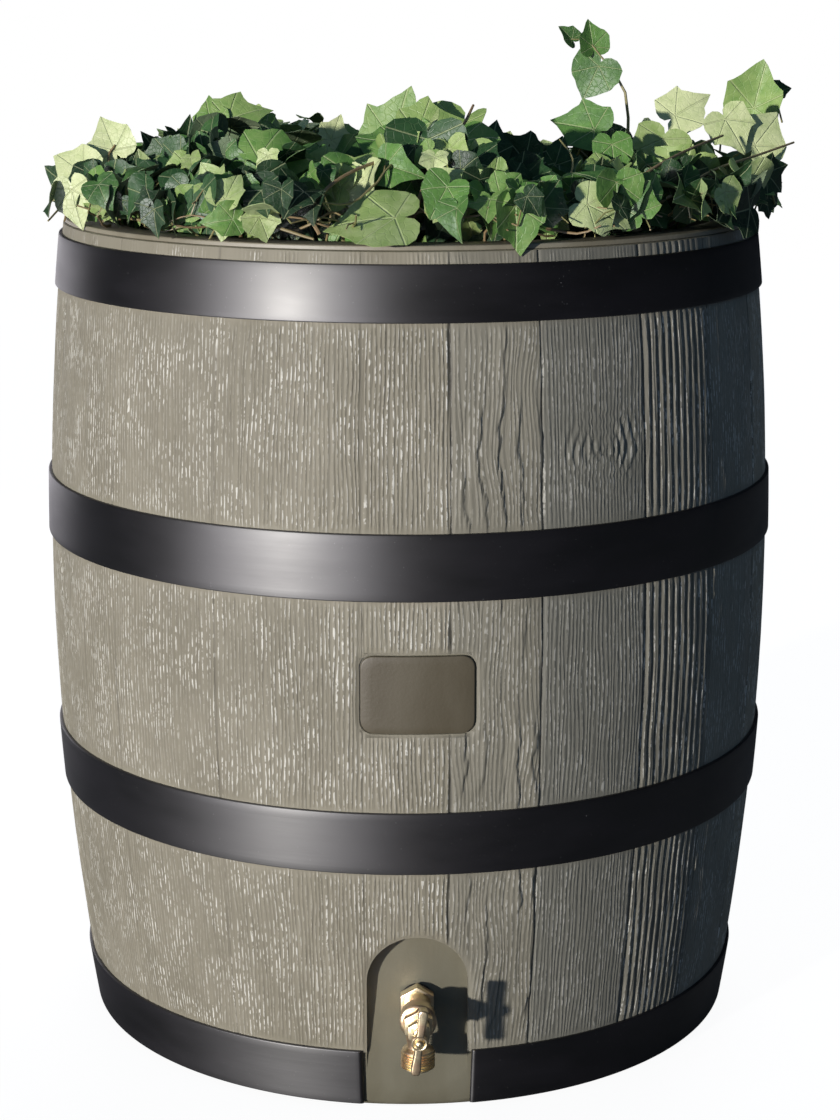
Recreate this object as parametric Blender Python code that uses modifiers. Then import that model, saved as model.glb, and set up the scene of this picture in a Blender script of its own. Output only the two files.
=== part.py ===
"""Rain barrel with a brass hose tap, an overflow fitting and a lift-off planter top.

Metres, +Z up. The origin is the centre of the base, on the surface that the barrel stands on,
and the tap faces -Y. Each physical piece is one object.
"""
import math

import bmesh
import bpy
from mathutils import Matrix

# Barrel
BELLY_RADIUS = 0.3125  # over the hoops
BELLY_HEIGHT = 0.389
BULGE = 0.200  # how fast the radius falls away from the belly, per metre
HOOP_PROUD = 0.003
WALL = 0.005
RIM_HEIGHT = 0.689
RIM_HOLE_RADIUS = 0.270
BASE_ROUNDING = 0.006
HOOPS = {
    "hoop_top": (0.6367, 0.6797),
    "hoop_upper": (0.4281, 0.4799),
    "hoop_lower": (0.2088, 0.2596),
    "hoop_bottom": (0.0040, 0.0527),
}

# Recess that the tap sits in
RECESS_HALF_WIDTH = 0.040
RECESS_ARCH_HEIGHT = 0.114
RECESS_FACE = 0.2795  # distance of its flat face from the barrel's axis
HOOP_END_CLEARANCE = 0.0035

# Blank plate
PLATE_WIDTH = 0.088
PLATE_HEIGHTS = (0.324, 0.386)
PLATE_CORNER = 0.010
PLATE_PROUD = 0.0012
PLATE_POCKET = 0.0015

# Hose tap: distances along its axis are counted from the barrel's axis
TAP_HEIGHT = 0.095
SHANK_RADIUS = 0.0105
SHANK_INNER_END = 0.2505
TAP_GASKET_RADIUS = 0.0131
INNER_WASHER_RADIUS = 0.0165
TAP_GASKET_THICKNESS = 0.003
COLLAR_RADIUS = 0.0152  # to the corners
COLLAR_LENGTH = 0.010
BODY_RADIUS = 0.0145
BODY_BACK = 0.3075
BODY_FRONT = 0.3240
NECK_RADIUS = 0.0112
NECK_END = 0.3030
CHAMBER_RADIUS = 0.0105
SEAT_FACE = 0.3065
SEAT_RADIUS = 0.0050
OUTLET_DISTANCE = 0.3130
OUTLET_END = 0.0515
OUTLET_BORE = 0.0082
OUTLET_NECK_BORE = 0.0062
OUTLET_WAIST = 0.0725
THREAD_RADIUS = 0.01345  # 3/4 inch garden hose thread
THREAD_ROOT = 0.0122
THREAD_PITCH = 0.0022
THREADS = 6
BONNET_BACK = 0.3208
BONNET_FRONT = 0.3340
BONNET_NECK_END = 0.3400
NUT_FRONT = 0.3460
STEM_RADIUS = 0.0040
STEM_HOLE = 0.0043
HANDLE_BACK = 0.3550
HANDLE_FRONT = 0.3650
HANDLE_DISH = 0.0012
HANDLE_LENGTH = 0.0546
HANDLE_LEAN = math.radians(7)

# Overflow fitting at the back
OVERFLOW_HEIGHT = 0.530
OVERFLOW_FACE = 0.3035
OVERFLOW_BORE = 0.0050
OVERFLOW_SHANK = 0.0128
OVERFLOW_INNER_END = 0.2830
OVERFLOW_END = 0.350

# Planter
LIP_TOP = 0.693
LIP_RADIUS = 0.2905
TRAY_FLOOR = 0.560
TRAY_WALL = 0.0035
TRAY_TOP_RADIUS = 0.2660
TRAY_FOOT_RADIUS = 0.2530
SOIL_TOP = 0.665
INLET_DISTANCE = 0.150
INLET_RADIUS = 0.0650
INLET_BORE = 0.0610
INLET_TOP = 0.685
SCREEN_RADIUS = 0.0572
SCREEN_HOLE = 0.0066
SCREEN_PITCH = 0.0125
FOLIAGE_TOP = 0.786
SPRIG_TIP = 0.858

GAP = 0.0003  # between neighbouring pieces
MERGE = 0.00001
WALL_SEGMENTS = 60
TUBE_SEGMENTS = 36
FITTING_SEGMENTS = 28
THROUGH = 0.010  # how far a cutter runs past what it cuts
FACING_FRONT = (math.pi / 2, 0, 0)
FACING_BACK = (-math.pi / 2, 0, 0)


# ---------------------------------------------------------------- scene and materials

def clear_scene():
    for old in list(bpy.data.objects):
        bpy.data.objects.remove(old, do_unlink=True)


def new_collection(name):
    collection = bpy.data.collections.new(name)
    bpy.context.scene.collection.children.link(collection)
    return collection


clear_scene()
PARTS = new_collection("rain_barrel")
CUTTERS = new_collection("cutters")


def finish(name, colour, roughness, metallic=0.0):
    """A function that makes a material of this look for one piece."""
    def make(piece_name):
        made = bpy.data.materials.new(f"{piece_name}_{name}")
        made.use_nodes = True
        shader = made.node_tree.nodes["Principled BSDF"]
        shader.inputs["Base Color"].default_value = (*colour, 1.0)
        shader.inputs["Roughness"].default_value = roughness
        shader.inputs["Metallic"].default_value = metallic
        made.diffuse_color = (*colour, 1.0)
        return made
    return make


STAVE = finish("stave_plastic", (0.30, 0.28, 0.23), 0.70)
HOOP = finish("hoop_plastic", (0.022, 0.021, 0.026), 0.25)
PLATE = finish("plate_plastic", (0.11, 0.10, 0.075), 0.45)
BRASS = finish("brass", (0.78, 0.60, 0.30), 0.25, 1.0)
RUBBER = finish("rubber", (0.02, 0.02, 0.02), 0.80)
TRAY = finish("tray_plastic", (0.23, 0.21, 0.17), 0.55)
BLACK = finish("black_plastic", (0.03, 0.03, 0.03), 0.50)
SOIL = finish("soil", (0.06, 0.04, 0.03), 0.95)
LEAF = finish("leaf", (0.09, 0.18, 0.05), 0.55)


# ---------------------------------------------------------------- modelling helpers

def add_object(name, mesh, look):
    """Put a mesh in the model. With no look it is a cutter."""
    made = bpy.data.objects.new(name, mesh)
    if look is None:
        CUTTERS.objects.link(made)
        made.display_type = "WIRE"
        made.hide_render = True
    else:
        PARTS.objects.link(made)
        mesh.materials.append(look(name))
    return made


def place(piece, location=(0, 0, 0), rotation=(0, 0, 0)):
    piece.location = location
    piece.rotation_euler = rotation
    return piece


def turned(name, profile, look=None, closed=False, segments=FITTING_SEGMENTS):
    """Turn a profile of (radius, height) points round +Z. It runs down its outer side."""
    count = len(profile)
    edges = [(i, (i + 1) % count) for i in range(count if closed else count - 1)]
    mesh = bpy.data.meshes.new(name)
    mesh.from_pydata([(radius, 0, height) for radius, height in profile], edges, [])
    piece = add_object(name, mesh, look)
    screw = piece.modifiers.new("Turn", "SCREW")
    screw.axis = "Z"
    screw.steps = segments
    screw.render_steps = segments
    screw.use_merge_vertices = True
    screw.merge_threshold = MERGE
    return piece


def cylinder(name, radius, low, high, look=None, segments=FITTING_SEGMENTS):
    """A cylinder along +Z, or a prism where the segments are few."""
    mesh = bpy.data.meshes.new(name)
    model = bmesh.new()
    bmesh.ops.create_cone(
        model, cap_ends=True, segments=segments, radius1=radius, radius2=radius,
        depth=high - low, matrix=Matrix.Translation((0, 0, (low + high) / 2)))
    model.to_mesh(mesh)
    model.free()
    return add_object(name, mesh, look)


def ring(name, inner, outer, low, high, look=None, segments=FITTING_SEGMENTS):
    profile = [(inner, high), (outer, high), (outer, low), (inner, low)]
    return turned(name, profile, look, closed=True, segments=segments)


def to_mesh(piece):
    """Replace a curve by a closed mesh of the same shape."""
    bpy.context.view_layer.update()
    evaluated = piece.evaluated_get(bpy.context.evaluated_depsgraph_get())
    mesh = bpy.data.meshes.new_from_object(evaluated)
    model = bmesh.new()
    model.from_mesh(mesh)
    bmesh.ops.remove_doubles(model, verts=model.verts, dist=MERGE)
    bmesh.ops.recalc_face_normals(model, faces=model.faces)
    model.to_mesh(mesh)
    model.free()
    made = bpy.data.objects.new(piece.name, mesh)
    for collection in piece.users_collection:
        collection.objects.link(made)
    made.matrix_world = piece.matrix_world
    made.display_type = piece.display_type
    made.hide_render = piece.hide_render
    name = piece.name
    bpy.data.objects.remove(piece, do_unlink=True)
    made.name = name
    return made


def plane_curve(name, outline, thickness, look=None):
    """A flat outline of (x, y) points, as thick as thickness along Z, centred on it."""
    curve = bpy.data.curves.new(name, "CURVE")
    curve.dimensions = "2D"
    curve.fill_mode = "BOTH"
    curve.extrude = thickness / 2
    spline = curve.splines.new("POLY")
    spline.points.add(len(outline) - 1)
    for point, (x, y) in zip(spline.points, outline):
        point.co = (x, y, 0, 1)
    spline.use_cyclic_u = True
    return add_object(name, curve, look)


def cut(piece, cutter, operation="DIFFERENCE"):
    boolean = piece.modifiers.new(f"{operation.title()} {cutter.name}", "BOOLEAN")
    boolean.operation = operation
    boolean.object = cutter
    return piece


def join(piece, other):
    return cut(piece, other, "UNION")


def arc(radius, centre, start, end, steps):
    """Points on an arc, from angle start to angle end in degrees."""
    angles = [math.radians(start + (end - start) * i / steps) for i in range(steps + 1)]
    return [(centre[0] + radius * math.cos(a), centre[1] + radius * math.sin(a)) for a in angles]


def rounded_rectangle(width, height, corner):
    x, y = width / 2 - corner, height / 2 - corner
    centres = [((x, y), 0), ((-x, y), 90), ((-x, -y), 180), ((x, -y), 270)]
    return [p for centre, start in centres for p in arc(corner, centre, start, start + 90, 5)]


# ---------------------------------------------------------------- barrel

def wall_radius(height):
    """Radius of the staves' surface."""
    return BELLY_RADIUS - HOOP_PROUD - BULGE * (height - BELLY_HEIGHT) ** 2


def wall_line(high, low, offset, steps):
    """Points down the bulging wall, offset from the staves' surface."""
    heights = [high + (low - high) * i / steps for i in range(steps + 1)]
    return [(wall_radius(z) + offset, z) for z in heights]


def recess_prism(name, half_width, face):
    """An upright prism with an arched top, from a flat face to outside the barrel."""
    depth = BELLY_RADIUS + THROUGH - face
    arch = arc(half_width, (0, RECESS_ARCH_HEIGHT), 0, 180, 16)
    outline = [*arch, (-half_width, -THROUGH), (half_width, -THROUGH)]
    prism = plane_curve(name, outline, depth)
    place(prism, (0, -face - depth / 2, 0), FACING_FRONT)
    return to_mesh(prism)


def plate_prism(name, margin):
    """The plate's outline, through the front wall."""
    low, high = PLATE_HEIGHTS
    outline = rounded_rectangle(
        PLATE_WIDTH + 2 * margin, high - low + 2 * margin, PLATE_CORNER + margin)
    prism = plane_curve(name, outline, WALL * 8)
    place(prism, (0, -wall_radius(BELLY_HEIGHT), (low + high) / 2), FACING_FRONT)
    return to_mesh(prism)


def plate_band(name, inner, outer, look=None):
    """A band of the wall, from inner to outer off the staves' surface."""
    low, high = PLATE_HEIGHTS[0] - THROUGH, PLATE_HEIGHTS[1] + THROUGH
    profile = wall_line(high, low, outer, 3) + wall_line(low, high, inner, 3)
    return turned(name, profile, look, closed=True, segments=WALL_SEGMENTS)


def make_cavity():
    """The inside of the barrel, with the back of the tap recess standing in it."""
    under_rim = RIM_HEIGHT - WALL
    foot = WALL + BASE_ROUNDING
    profile = [(0, RIM_HEIGHT + THROUGH), (RIM_HOLE_RADIUS, RIM_HEIGHT + THROUGH),
               (RIM_HOLE_RADIUS, under_rim)]
    profile += wall_line(under_rim, foot, -WALL, 10)
    profile += [(wall_radius(foot) - WALL - BASE_ROUNDING, WALL), (0, WALL)]
    cavity = turned("cavity", profile, segments=WALL_SEGMENTS)
    back = recess_prism("recess_back", RECESS_HALF_WIDTH + WALL, RECESS_FACE - WALL)
    return cut(cavity, back)


def make_shell():
    edge = 0.002
    profile = [(0, RIM_HEIGHT), (wall_radius(RIM_HEIGHT) - edge, RIM_HEIGHT)]
    profile += wall_line(RIM_HEIGHT - edge, BASE_ROUNDING, 0, 12)
    profile += [(wall_radius(0) - BASE_ROUNDING, 0), (0, 0)]
    shell = turned("barrel_shell", profile, STAVE, segments=WALL_SEGMENTS)
    cut(shell, make_cavity())
    cut(shell, recess_prism("recess", RECESS_HALF_WIDTH, RECESS_FACE))
    pocket = plate_band("plate_pocket", -PLATE_POCKET, WALL)
    cut(shell, cut(pocket, plate_prism("pocket_outline", GAP), "INTERSECT"))
    tap_hole = cylinder("tap_hole", SHANK_RADIUS + 2 * GAP, 0.24, 0.32)
    cut(shell, place(tap_hole, (0, 0, TAP_HEIGHT), FACING_FRONT))
    seat = cylinder("overflow_seat", 0.024, OVERFLOW_FACE, 0.33)
    cut(shell, place(seat, (0, 0, OVERFLOW_HEIGHT), FACING_BACK))
    overflow_hole = cylinder("overflow_hole", OVERFLOW_SHANK + 2 * GAP, 0.28, 0.32)
    cut(shell, place(overflow_hole, (0, 0, OVERFLOW_HEIGHT), FACING_BACK))


def make_hoop(name, low, high):
    edge = 0.0008
    profile = [(wall_radius(high) + GAP, high), (wall_radius(high) + HOOP_PROUD - edge, high)]
    profile += wall_line(high - edge, low + edge, HOOP_PROUD, 1)
    profile += [(wall_radius(low) + HOOP_PROUD - edge, low), (wall_radius(low) + GAP, low)]
    return turned(name, profile, HOOP, closed=True, segments=WALL_SEGMENTS)


def make_hoops():
    for name, (low, high) in HOOPS.items():
        hoop = make_hoop(name, low, high)
        if name == "hoop_bottom":
            half_width = RECESS_HALF_WIDTH + HOOP_END_CLEARANCE
            cut(hoop, recess_prism("hoop_opening", half_width, RECESS_FACE - 3 * WALL))


def make_plate():
    plate = plate_band("label_plate", -PLATE_POCKET + GAP, PLATE_PROUD, PLATE)
    cut(plate, plate_prism("plate_outline", 0), "INTERSECT")


# ---------------------------------------------------------------- hose tap

def on_tap(piece):
    """Lay a piece that was made along +Z along the tap's axis."""
    return place(piece, (0, 0, TAP_HEIGHT), FACING_FRONT)


def hexagon(name, corner_radius, low, high, look=None):
    return cylinder(name, corner_radius, low, high, look, segments=6)


def make_outlet():
    """The threaded outlet, upright, with ridges for its thread."""
    top = OUTLET_END + THREAD_PITCH * THREADS + 0.002
    neck_top = TAP_HEIGHT - CHAMBER_RADIUS + 0.003
    profile = [(0, neck_top), (0.0104, neck_top), (0.0100, TAP_HEIGHT - BODY_RADIUS),
               (0.0083, OUTLET_WAIST), (0.0086, top + 0.0015), (THREAD_ROOT, top)]
    for i in range(THREADS):
        crest = top - THREAD_PITCH * (i + 0.5)
        profile += [(THREAD_RADIUS, crest + 0.0003), (THREAD_RADIUS, crest - 0.0003),
                    (THREAD_ROOT, crest - THREAD_PITCH / 2)]
    profile += [(THREAD_ROOT - 0.0005, OUTLET_END), (0, OUTLET_END)]
    return place(turned("outlet", profile, segments=24), (0, -OUTLET_DISTANCE, 0))


def make_spigot_body():
    collar_back = RECESS_FACE + 2 * GAP + TAP_GASKET_THICKNESS
    profile = [(0, BODY_FRONT), (BODY_RADIUS - 0.0014, BODY_FRONT),
               (BODY_RADIUS, BODY_FRONT - 0.0015), (BODY_RADIUS, BODY_BACK), (NECK_RADIUS, NECK_END),
               (NECK_RADIUS, collar_back + 0.002), (SHANK_RADIUS, collar_back + 0.001),
               (SHANK_RADIUS, SHANK_INNER_END), (0, SHANK_INNER_END)]
    body = on_tap(turned("spigot_body", profile, BRASS))
    join(body, on_tap(hexagon("collar", COLLAR_RADIUS, collar_back, collar_back + COLLAR_LENGTH)))
    join(body, make_outlet())
    cut(body, on_tap(cylinder("shank_bore", 0.0075, 0.24, SEAT_FACE - 0.006)))
    cut(body, on_tap(cylinder("seat_bore", SEAT_RADIUS, SEAT_FACE - 0.012, SEAT_FACE + 0.001)))
    cut(body, on_tap(cylinder("chamber", CHAMBER_RADIUS, SEAT_FACE, BODY_FRONT + THROUGH)))
    bore_top = TAP_HEIGHT - CHAMBER_RADIUS + 0.002
    for name, radius, low, high in (
            ("outlet_bore", OUTLET_BORE, OUTLET_END - THROUGH, OUTLET_END + 0.012),
            ("outlet_neck_bore", OUTLET_NECK_BORE, OUTLET_END + 0.011, bore_top)):
        cut(body, place(cylinder(name, radius, low, high), (0, -OUTLET_DISTANCE, 0)))


def make_tap_clamp():
    """The washers and the nut that clamp the tap to the wall."""
    bore = SHANK_RADIUS + GAP
    front = RECESS_FACE + GAP
    on_tap(ring("spigot_washer", bore, TAP_GASKET_RADIUS, front, front + TAP_GASKET_THICKNESS, RUBBER))
    inside = RECESS_FACE - WALL - GAP
    washer_back = inside - TAP_GASKET_THICKNESS
    on_tap(ring("inner_washer", bore, INNER_WASHER_RADIUS, washer_back, inside, RUBBER))
    nut = on_tap(hexagon("spigot_locknut", 0.0173, washer_back - GAP - 0.009, washer_back - GAP, BRASS))
    cut(nut, on_tap(cylinder("locknut_bore", bore, 0.24, 0.29)))


def make_bonnet():
    """The bonnet, its packing and its nut, with a hole for the stem."""
    profile = [(0, BONNET_NECK_END), (0.0070, BONNET_NECK_END), (0.0070, BONNET_FRONT - 0.002),
               (0.0098, BONNET_FRONT - 0.003), (0.0098, BONNET_BACK), (0, BONNET_BACK)]
    bonnet = on_tap(turned("bonnet", profile, BRASS))
    join(bonnet, on_tap(hexagon("bonnet_hexagon", 0.0127, BODY_FRONT + GAP, BONNET_FRONT)))
    stem_hole = on_tap(cylinder("stem_hole", STEM_HOLE, 0.31, 0.36))
    cut(bonnet, stem_hole)
    packing_front = NUT_FRONT - 0.003
    on_tap(ring("stem_packing", STEM_HOLE, 0.0070, BONNET_NECK_END + GAP, packing_front, RUBBER))
    nut = on_tap(hexagon("packing_nut", 0.0098, BONNET_FRONT + GAP, NUT_FRONT, BRASS))
    cut(nut, on_tap(cylinder("nut_bore", 0.0070 + GAP, 0.33, packing_front + GAP)))
    cut(nut, stem_hole)


def make_valve():
    """What moves: the seat washer, and the stem, handle and screws that turn it."""
    washer_front = SEAT_FACE + GAP + 0.003
    on_tap(ring("seat_washer", 0.0022, 0.0086, SEAT_FACE + GAP, washer_front, RUBBER))
    disc_back = washer_front + GAP
    disc_front = disc_back + 0.0024
    stem_end = HANDLE_FRONT - HANDLE_DISH - GAP
    profile = [(0, stem_end), (0.0030, stem_end), (0.0030, HANDLE_BACK - GAP),
               (STEM_RADIUS, HANDLE_BACK - GAP), (STEM_RADIUS, disc_front), (0.0085, disc_front),
               (0.0085, disc_back), (0, disc_back)]
    stem = on_tap(turned("valve_stem", profile, BRASS))
    cut(stem, on_tap(cylinder("handle_screw_hole", 0.0016, 0.3570, 0.37, segments=16)))
    cut(stem, on_tap(cylinder("washer_screw_hole", 0.0022, 0.30, SEAT_FACE + 0.0120, segments=16)))
    tip = SEAT_FACE + 0.0117
    screw = [(0, tip), (0.0018, tip), (0.0018, SEAT_FACE), (0.0040, SEAT_FACE),
             (0.0036, SEAT_FACE - 0.0014), (0, SEAT_FACE - 0.0014)]
    on_tap(turned("washer_screw", screw, BRASS, segments=20))


def make_handle():
    """Two rounded arms that widen towards their ends, on a hub."""
    half = HANDLE_LENGTH / 2
    side = [(0, half), (0.0018, half - 0.0004), (0.0031, half - 0.0022), (0.0035, half - 0.0050),
            (0.0027, 0.0085), (0.0028, 0)]
    profile = side + [(radius, -height) for radius, height in reversed(side[:-1])]
    arms = turned("handle_arms", profile, segments=20)
    middle = (HANDLE_BACK + HANDLE_FRONT) / 2
    lean = Matrix.Rotation(-HANDLE_LEAN, 4, "Z") @ Matrix.Diagonal((1, 1, 1.45, 1))
    upright = Matrix.Rotation(-math.pi / 2, 4, "X")
    on_axis = Matrix.Translation((0, 0, TAP_HEIGHT)) @ Matrix.Rotation(math.pi / 2, 4, "X")
    arms.matrix_world = on_axis @ Matrix.Translation((0, 0, middle)) @ lean @ upright
    dish = HANDLE_FRONT - HANDLE_DISH
    hub = [(0, dish), (0.0043, dish), (0.0046, HANDLE_FRONT), (0.0055, HANDLE_FRONT),
           (0.0059, HANDLE_FRONT - 0.0006), (0.0059, HANDLE_BACK + 0.002), (0.0050, HANDLE_BACK),
           (0, HANDLE_BACK)]
    handle = on_tap(turned("tee_handle", hub, BRASS, segments=24))
    join(handle, arms)
    cut(handle, on_tap(cylinder("handle_bore", 0.0030 + GAP, 0.34, 0.37, segments=24)))
    head, tip = dish + GAP, dish - 0.0065
    screw = [(0, head + 0.0034), (0.0018, head + 0.0031), (0.0032, head + 0.0021),
             (0.0037, head), (0.0012, head), (0.0012, tip), (0, tip)]
    on_tap(turned("handle_screw", screw, BRASS, segments=20))


# ---------------------------------------------------------------- overflow

def at_overflow(piece):
    return place(piece, (0, 0, OVERFLOW_HEIGHT), FACING_BACK)


def make_overflow():
    gasket_front = OVERFLOW_FACE + GAP + 0.003
    flange_back = gasket_front + GAP
    flange_front = flange_back + 0.006
    barb_length = (OVERFLOW_END - flange_front - 0.006) / 3
    profile = [(0, OVERFLOW_END)]
    for i in range(3):
        top = OVERFLOW_END - barb_length * i
        profile += [(0.0085, top), (0.0102, top - barb_length + 0.0008)]
    profile += [(0.0090, flange_front + 0.006), (0.0090, flange_front - 0.001),
                (OVERFLOW_SHANK, flange_back + 0.001), (OVERFLOW_SHANK, OVERFLOW_INNER_END),
                (0, OVERFLOW_INNER_END)]
    fitting = at_overflow(turned("overflow_fitting", profile, BLACK))
    join(fitting, at_overflow(hexagon("overflow_hexagon", 0.0208, flange_back, flange_front)))
    cut(fitting, at_overflow(cylinder("overflow_bore", OVERFLOW_BORE, 0.27, 0.37)))
    bore = OVERFLOW_SHANK + GAP
    at_overflow(ring("overflow_gasket", bore, 0.0200, OVERFLOW_FACE + GAP, gasket_front, RUBBER))
    nut = at_overflow(hexagon("overflow_locknut", 0.0196, 0.2885, 0.2972, BLACK))
    cut(nut, at_overflow(cylinder("overflow_nut_bore", bore, 0.28, 0.31)))


# ---------------------------------------------------------------- planter

def tray_inner_radius(height):
    share = (height - TRAY_FLOOR) / (LIP_TOP - TRAY_FLOOR)
    return TRAY_FOOT_RADIUS + (TRAY_TOP_RADIUS - TRAY_FOOT_RADIUS) * share - TRAY_WALL


def make_tray():
    floor_top = TRAY_FLOOR + TRAY_WALL
    corner = 0.006
    seat = RIM_HEIGHT + GAP
    profile = [(0, floor_top), (tray_inner_radius(floor_top) - corner, floor_top),
               (tray_inner_radius(floor_top + corner), floor_top + corner),
               (tray_inner_radius(LIP_TOP), LIP_TOP), (LIP_RADIUS - 0.001, LIP_TOP),
               (LIP_RADIUS, LIP_TOP - 0.001), (LIP_RADIUS, seat), (TRAY_TOP_RADIUS, seat),
               (TRAY_FOOT_RADIUS + 0.0006, TRAY_FLOOR + corner),
               (TRAY_FOOT_RADIUS - corner, TRAY_FLOOR), (0, TRAY_FLOOR)]
    tray = turned("planter_tray", profile, TRAY, segments=WALL_SEGMENTS)
    tube = cylinder("inlet_tube", INLET_RADIUS, TRAY_FLOOR + 0.001, INLET_TOP, segments=TUBE_SEGMENTS)
    join(tray, place(tube, (0, INLET_DISTANCE, 0)))
    bore = cylinder("inlet_bore", INLET_BORE, TRAY_FLOOR - THROUGH, INLET_TOP + THROUGH,
                    segments=TUBE_SEGMENTS)
    cut(tray, place(bore, (0, INLET_DISTANCE, 0)))
    for i in range(5):
        angle = math.radians(-90 + 54 * (i - 2))
        drain = cylinder(f"drain_{i + 1}", 0.004, TRAY_FLOOR - THROUGH, floor_top + THROUGH, segments=12)
        cut(tray, place(drain, (0.19 * math.cos(angle), 0.19 * math.sin(angle), 0)))


def make_soil():
    low = TRAY_FLOOR + TRAY_WALL + GAP
    corner = 0.007
    side = [(tray_inner_radius(z) - 0.0005, z) for z in (SOIL_TOP, low + corner)]
    profile = [(0, SOIL_TOP), *side, (tray_inner_radius(low) - corner - 0.0005, low), (0, low)]
    soil = turned("potting_soil", profile, SOIL, segments=WALL_SEGMENTS)
    hole = cylinder("soil_hole", INLET_RADIUS + 0.0008, low - THROUGH, SOIL_TOP + THROUGH,
                    segments=TUBE_SEGMENTS)
    cut(soil, place(hole, (0, INLET_DISTANCE, 0)))


def make_screen():
    seat = INLET_TOP + GAP
    skirt = INLET_BORE - 0.0005
    ledge = seat - 0.0153
    profile = [(0.0575, seat + 0.004), (0.0680, seat + 0.004), (0.0690, seat + 0.003),
               (0.0690, seat), (skirt, seat), (skirt, ledge), (0.0545, ledge),
               (0.0545, ledge + 0.002), (0.0575, ledge + 0.002)]
    frame = turned("screen_frame", profile, BLACK, closed=True, segments=TUBE_SEGMENTS)
    place(frame, (0, INLET_DISTANCE, 0))
    low = ledge + 0.002 + GAP
    mesh = cylinder("screen_mesh", SCREEN_RADIUS, low, low + 0.0015, BLACK, segments=TUBE_SEGMENTS)
    cut(place(mesh, (0, INLET_DISTANCE, 0)), screen_holes(low))


def screen_holes(low):
    """Square holes in rows, as far out as they fit inside the screen's edge."""
    mesh = bpy.data.meshes.new("screen_holes")
    model = bmesh.new()
    reach = int(SCREEN_RADIUS / SCREEN_PITCH)
    for column in range(-reach, reach + 1):
        for row in range(-reach, reach + 1):
            x, y = column * SCREEN_PITCH, row * SCREEN_PITCH
            corner = math.hypot(abs(x) + SCREEN_HOLE / 2, abs(y) + SCREEN_HOLE / 2)
            if corner < SCREEN_RADIUS - 0.002:
                move = Matrix.Translation((x, y, low))
                size = Matrix.Diagonal((SCREEN_HOLE, SCREEN_HOLE, THROUGH, 1))
                bmesh.ops.create_cube(model, size=1, matrix=move @ size)
    model.to_mesh(mesh)
    model.free()
    return place(add_object("screen_holes", mesh, None), (0, INLET_DISTANCE, 0))


# ---------------------------------------------------------------- ivy

def foliage(name, start, end, inner, outer, top):
    """A plain closed mound of leaves over the soil and the lip, between two angles."""
    foot = SOIL_TOP + GAP
    over_lip = LIP_TOP + GAP
    wall = tray_inner_radius(foot) - 0.002
    height = top - foot
    outline = [(inner, foot), (wall, foot), (wall, over_lip), (outer - 0.008, over_lip),
               (outer, foot + height * 0.45), (outer - 0.020, foot + height * 0.75),
               (outer - 0.060, top), (inner + (outer - inner) * 0.35, top - height * 0.06),
               (inner, foot + height * 0.55)]
    mesh = bpy.data.meshes.new(name)
    model = bmesh.new()
    face = model.faces.new([model.verts.new((radius, 0, z)) for radius, z in outline])
    turn = Matrix.Rotation(math.radians(start), 3, "Z")
    bmesh.ops.rotate(model, cent=(0, 0, 0), matrix=turn, verts=model.verts)
    bmesh.ops.spin(model, geom=[face, *face.edges, *face.verts], cent=(0, 0, 0), axis=(0, 0, 1),
                   angle=math.radians(end - start), steps=round((end - start) / 6))
    bmesh.ops.recalc_face_normals(model, faces=model.faces)
    model.to_mesh(mesh)
    model.free()
    return add_object(name, mesh, LEAF)


def make_centre_plant():
    profile = [(0, FOLIAGE_TOP - 0.020), (0.035, FOLIAGE_TOP - 0.026), (0.065, FOLIAGE_TOP - 0.050),
               (0.072, SOIL_TOP + 0.030), (0.060, SOIL_TOP + GAP), (0, SOIL_TOP + GAP)]
    turned("ivy_centre", profile, LEAF, segments=24)


def leaf_pad(name, centre, size):
    """A plain thick leaf, standing across the view from the front."""
    mesh = bpy.data.meshes.new(name)
    model = bmesh.new()
    bmesh.ops.create_uvsphere(model, u_segments=10, v_segments=6, radius=1,
                              matrix=Matrix.Diagonal((size[0], 0.002, size[1], 1)))
    model.to_mesh(mesh)
    model.free()
    return place(add_object(name, mesh, None), centre)


def make_sprig():
    """The one tall sprig: a bent stem with three leaves."""
    way = [(0.186, 0.0, FOLIAGE_TOP + 0.001), (0.184, 0.0, 0.800), (0.176, 0.0, 0.816),
           (0.163, 0.0, 0.826), (0.154, 0.0, 0.838), (0.150, 0.0, SPRIG_TIP - 0.010)]
    curve = bpy.data.curves.new("ivy_sprig", "CURVE")
    curve.dimensions = "3D"
    curve.bevel_depth = 0.0016
    curve.bevel_resolution = 2
    curve.use_fill_caps = True
    spline = curve.splines.new("POLY")
    spline.points.add(len(way) - 1)
    for point, position in zip(spline.points, way):
        point.co = (*position, 1)
    stem = to_mesh(add_object("ivy_sprig", curve, LEAF))
    join(stem, leaf_pad("sprig_leaf_top", (0.152, 0.0, SPRIG_TIP - 0.014), (0.007, 0.014)))
    join(stem, leaf_pad("sprig_leaf_side", (0.141, 0.0, 0.844), (0.014, 0.006)))
    join(stem, leaf_pad("sprig_leaf_low", (0.154, 0.0, 0.815), (0.018, 0.015)))


def make_ivy():
    foliage("ivy_front_left", -150, -91, 0.100, 0.318, FOLIAGE_TOP)
    foliage("ivy_front_right", -89, -30, 0.100, 0.318, FOLIAGE_TOP - 0.010)
    foliage("ivy_right", -28, 50, 0.100, 0.338, FOLIAGE_TOP)
    foliage("ivy_back", 52, 128, 0.232, 0.318, FOLIAGE_TOP)
    foliage("ivy_left", 130, 208, 0.100, 0.325, FOLIAGE_TOP - 0.006)
    make_centre_plant()
    make_sprig()


make_shell()
make_hoops()
make_plate()
make_spigot_body()
make_tap_clamp()
make_bonnet()
make_valve()
make_handle()
make_overflow()
make_tray()
make_soil()
make_screen()
make_ivy()
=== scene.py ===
"""The looks of the rain barrel: moulded staves, hoops, brass tap, planter, soil and ivy.

Everything is in metres in the CAD's frame: +Z up, the tap faces -Y, z = 0 is the ground.
"""
import math

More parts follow.
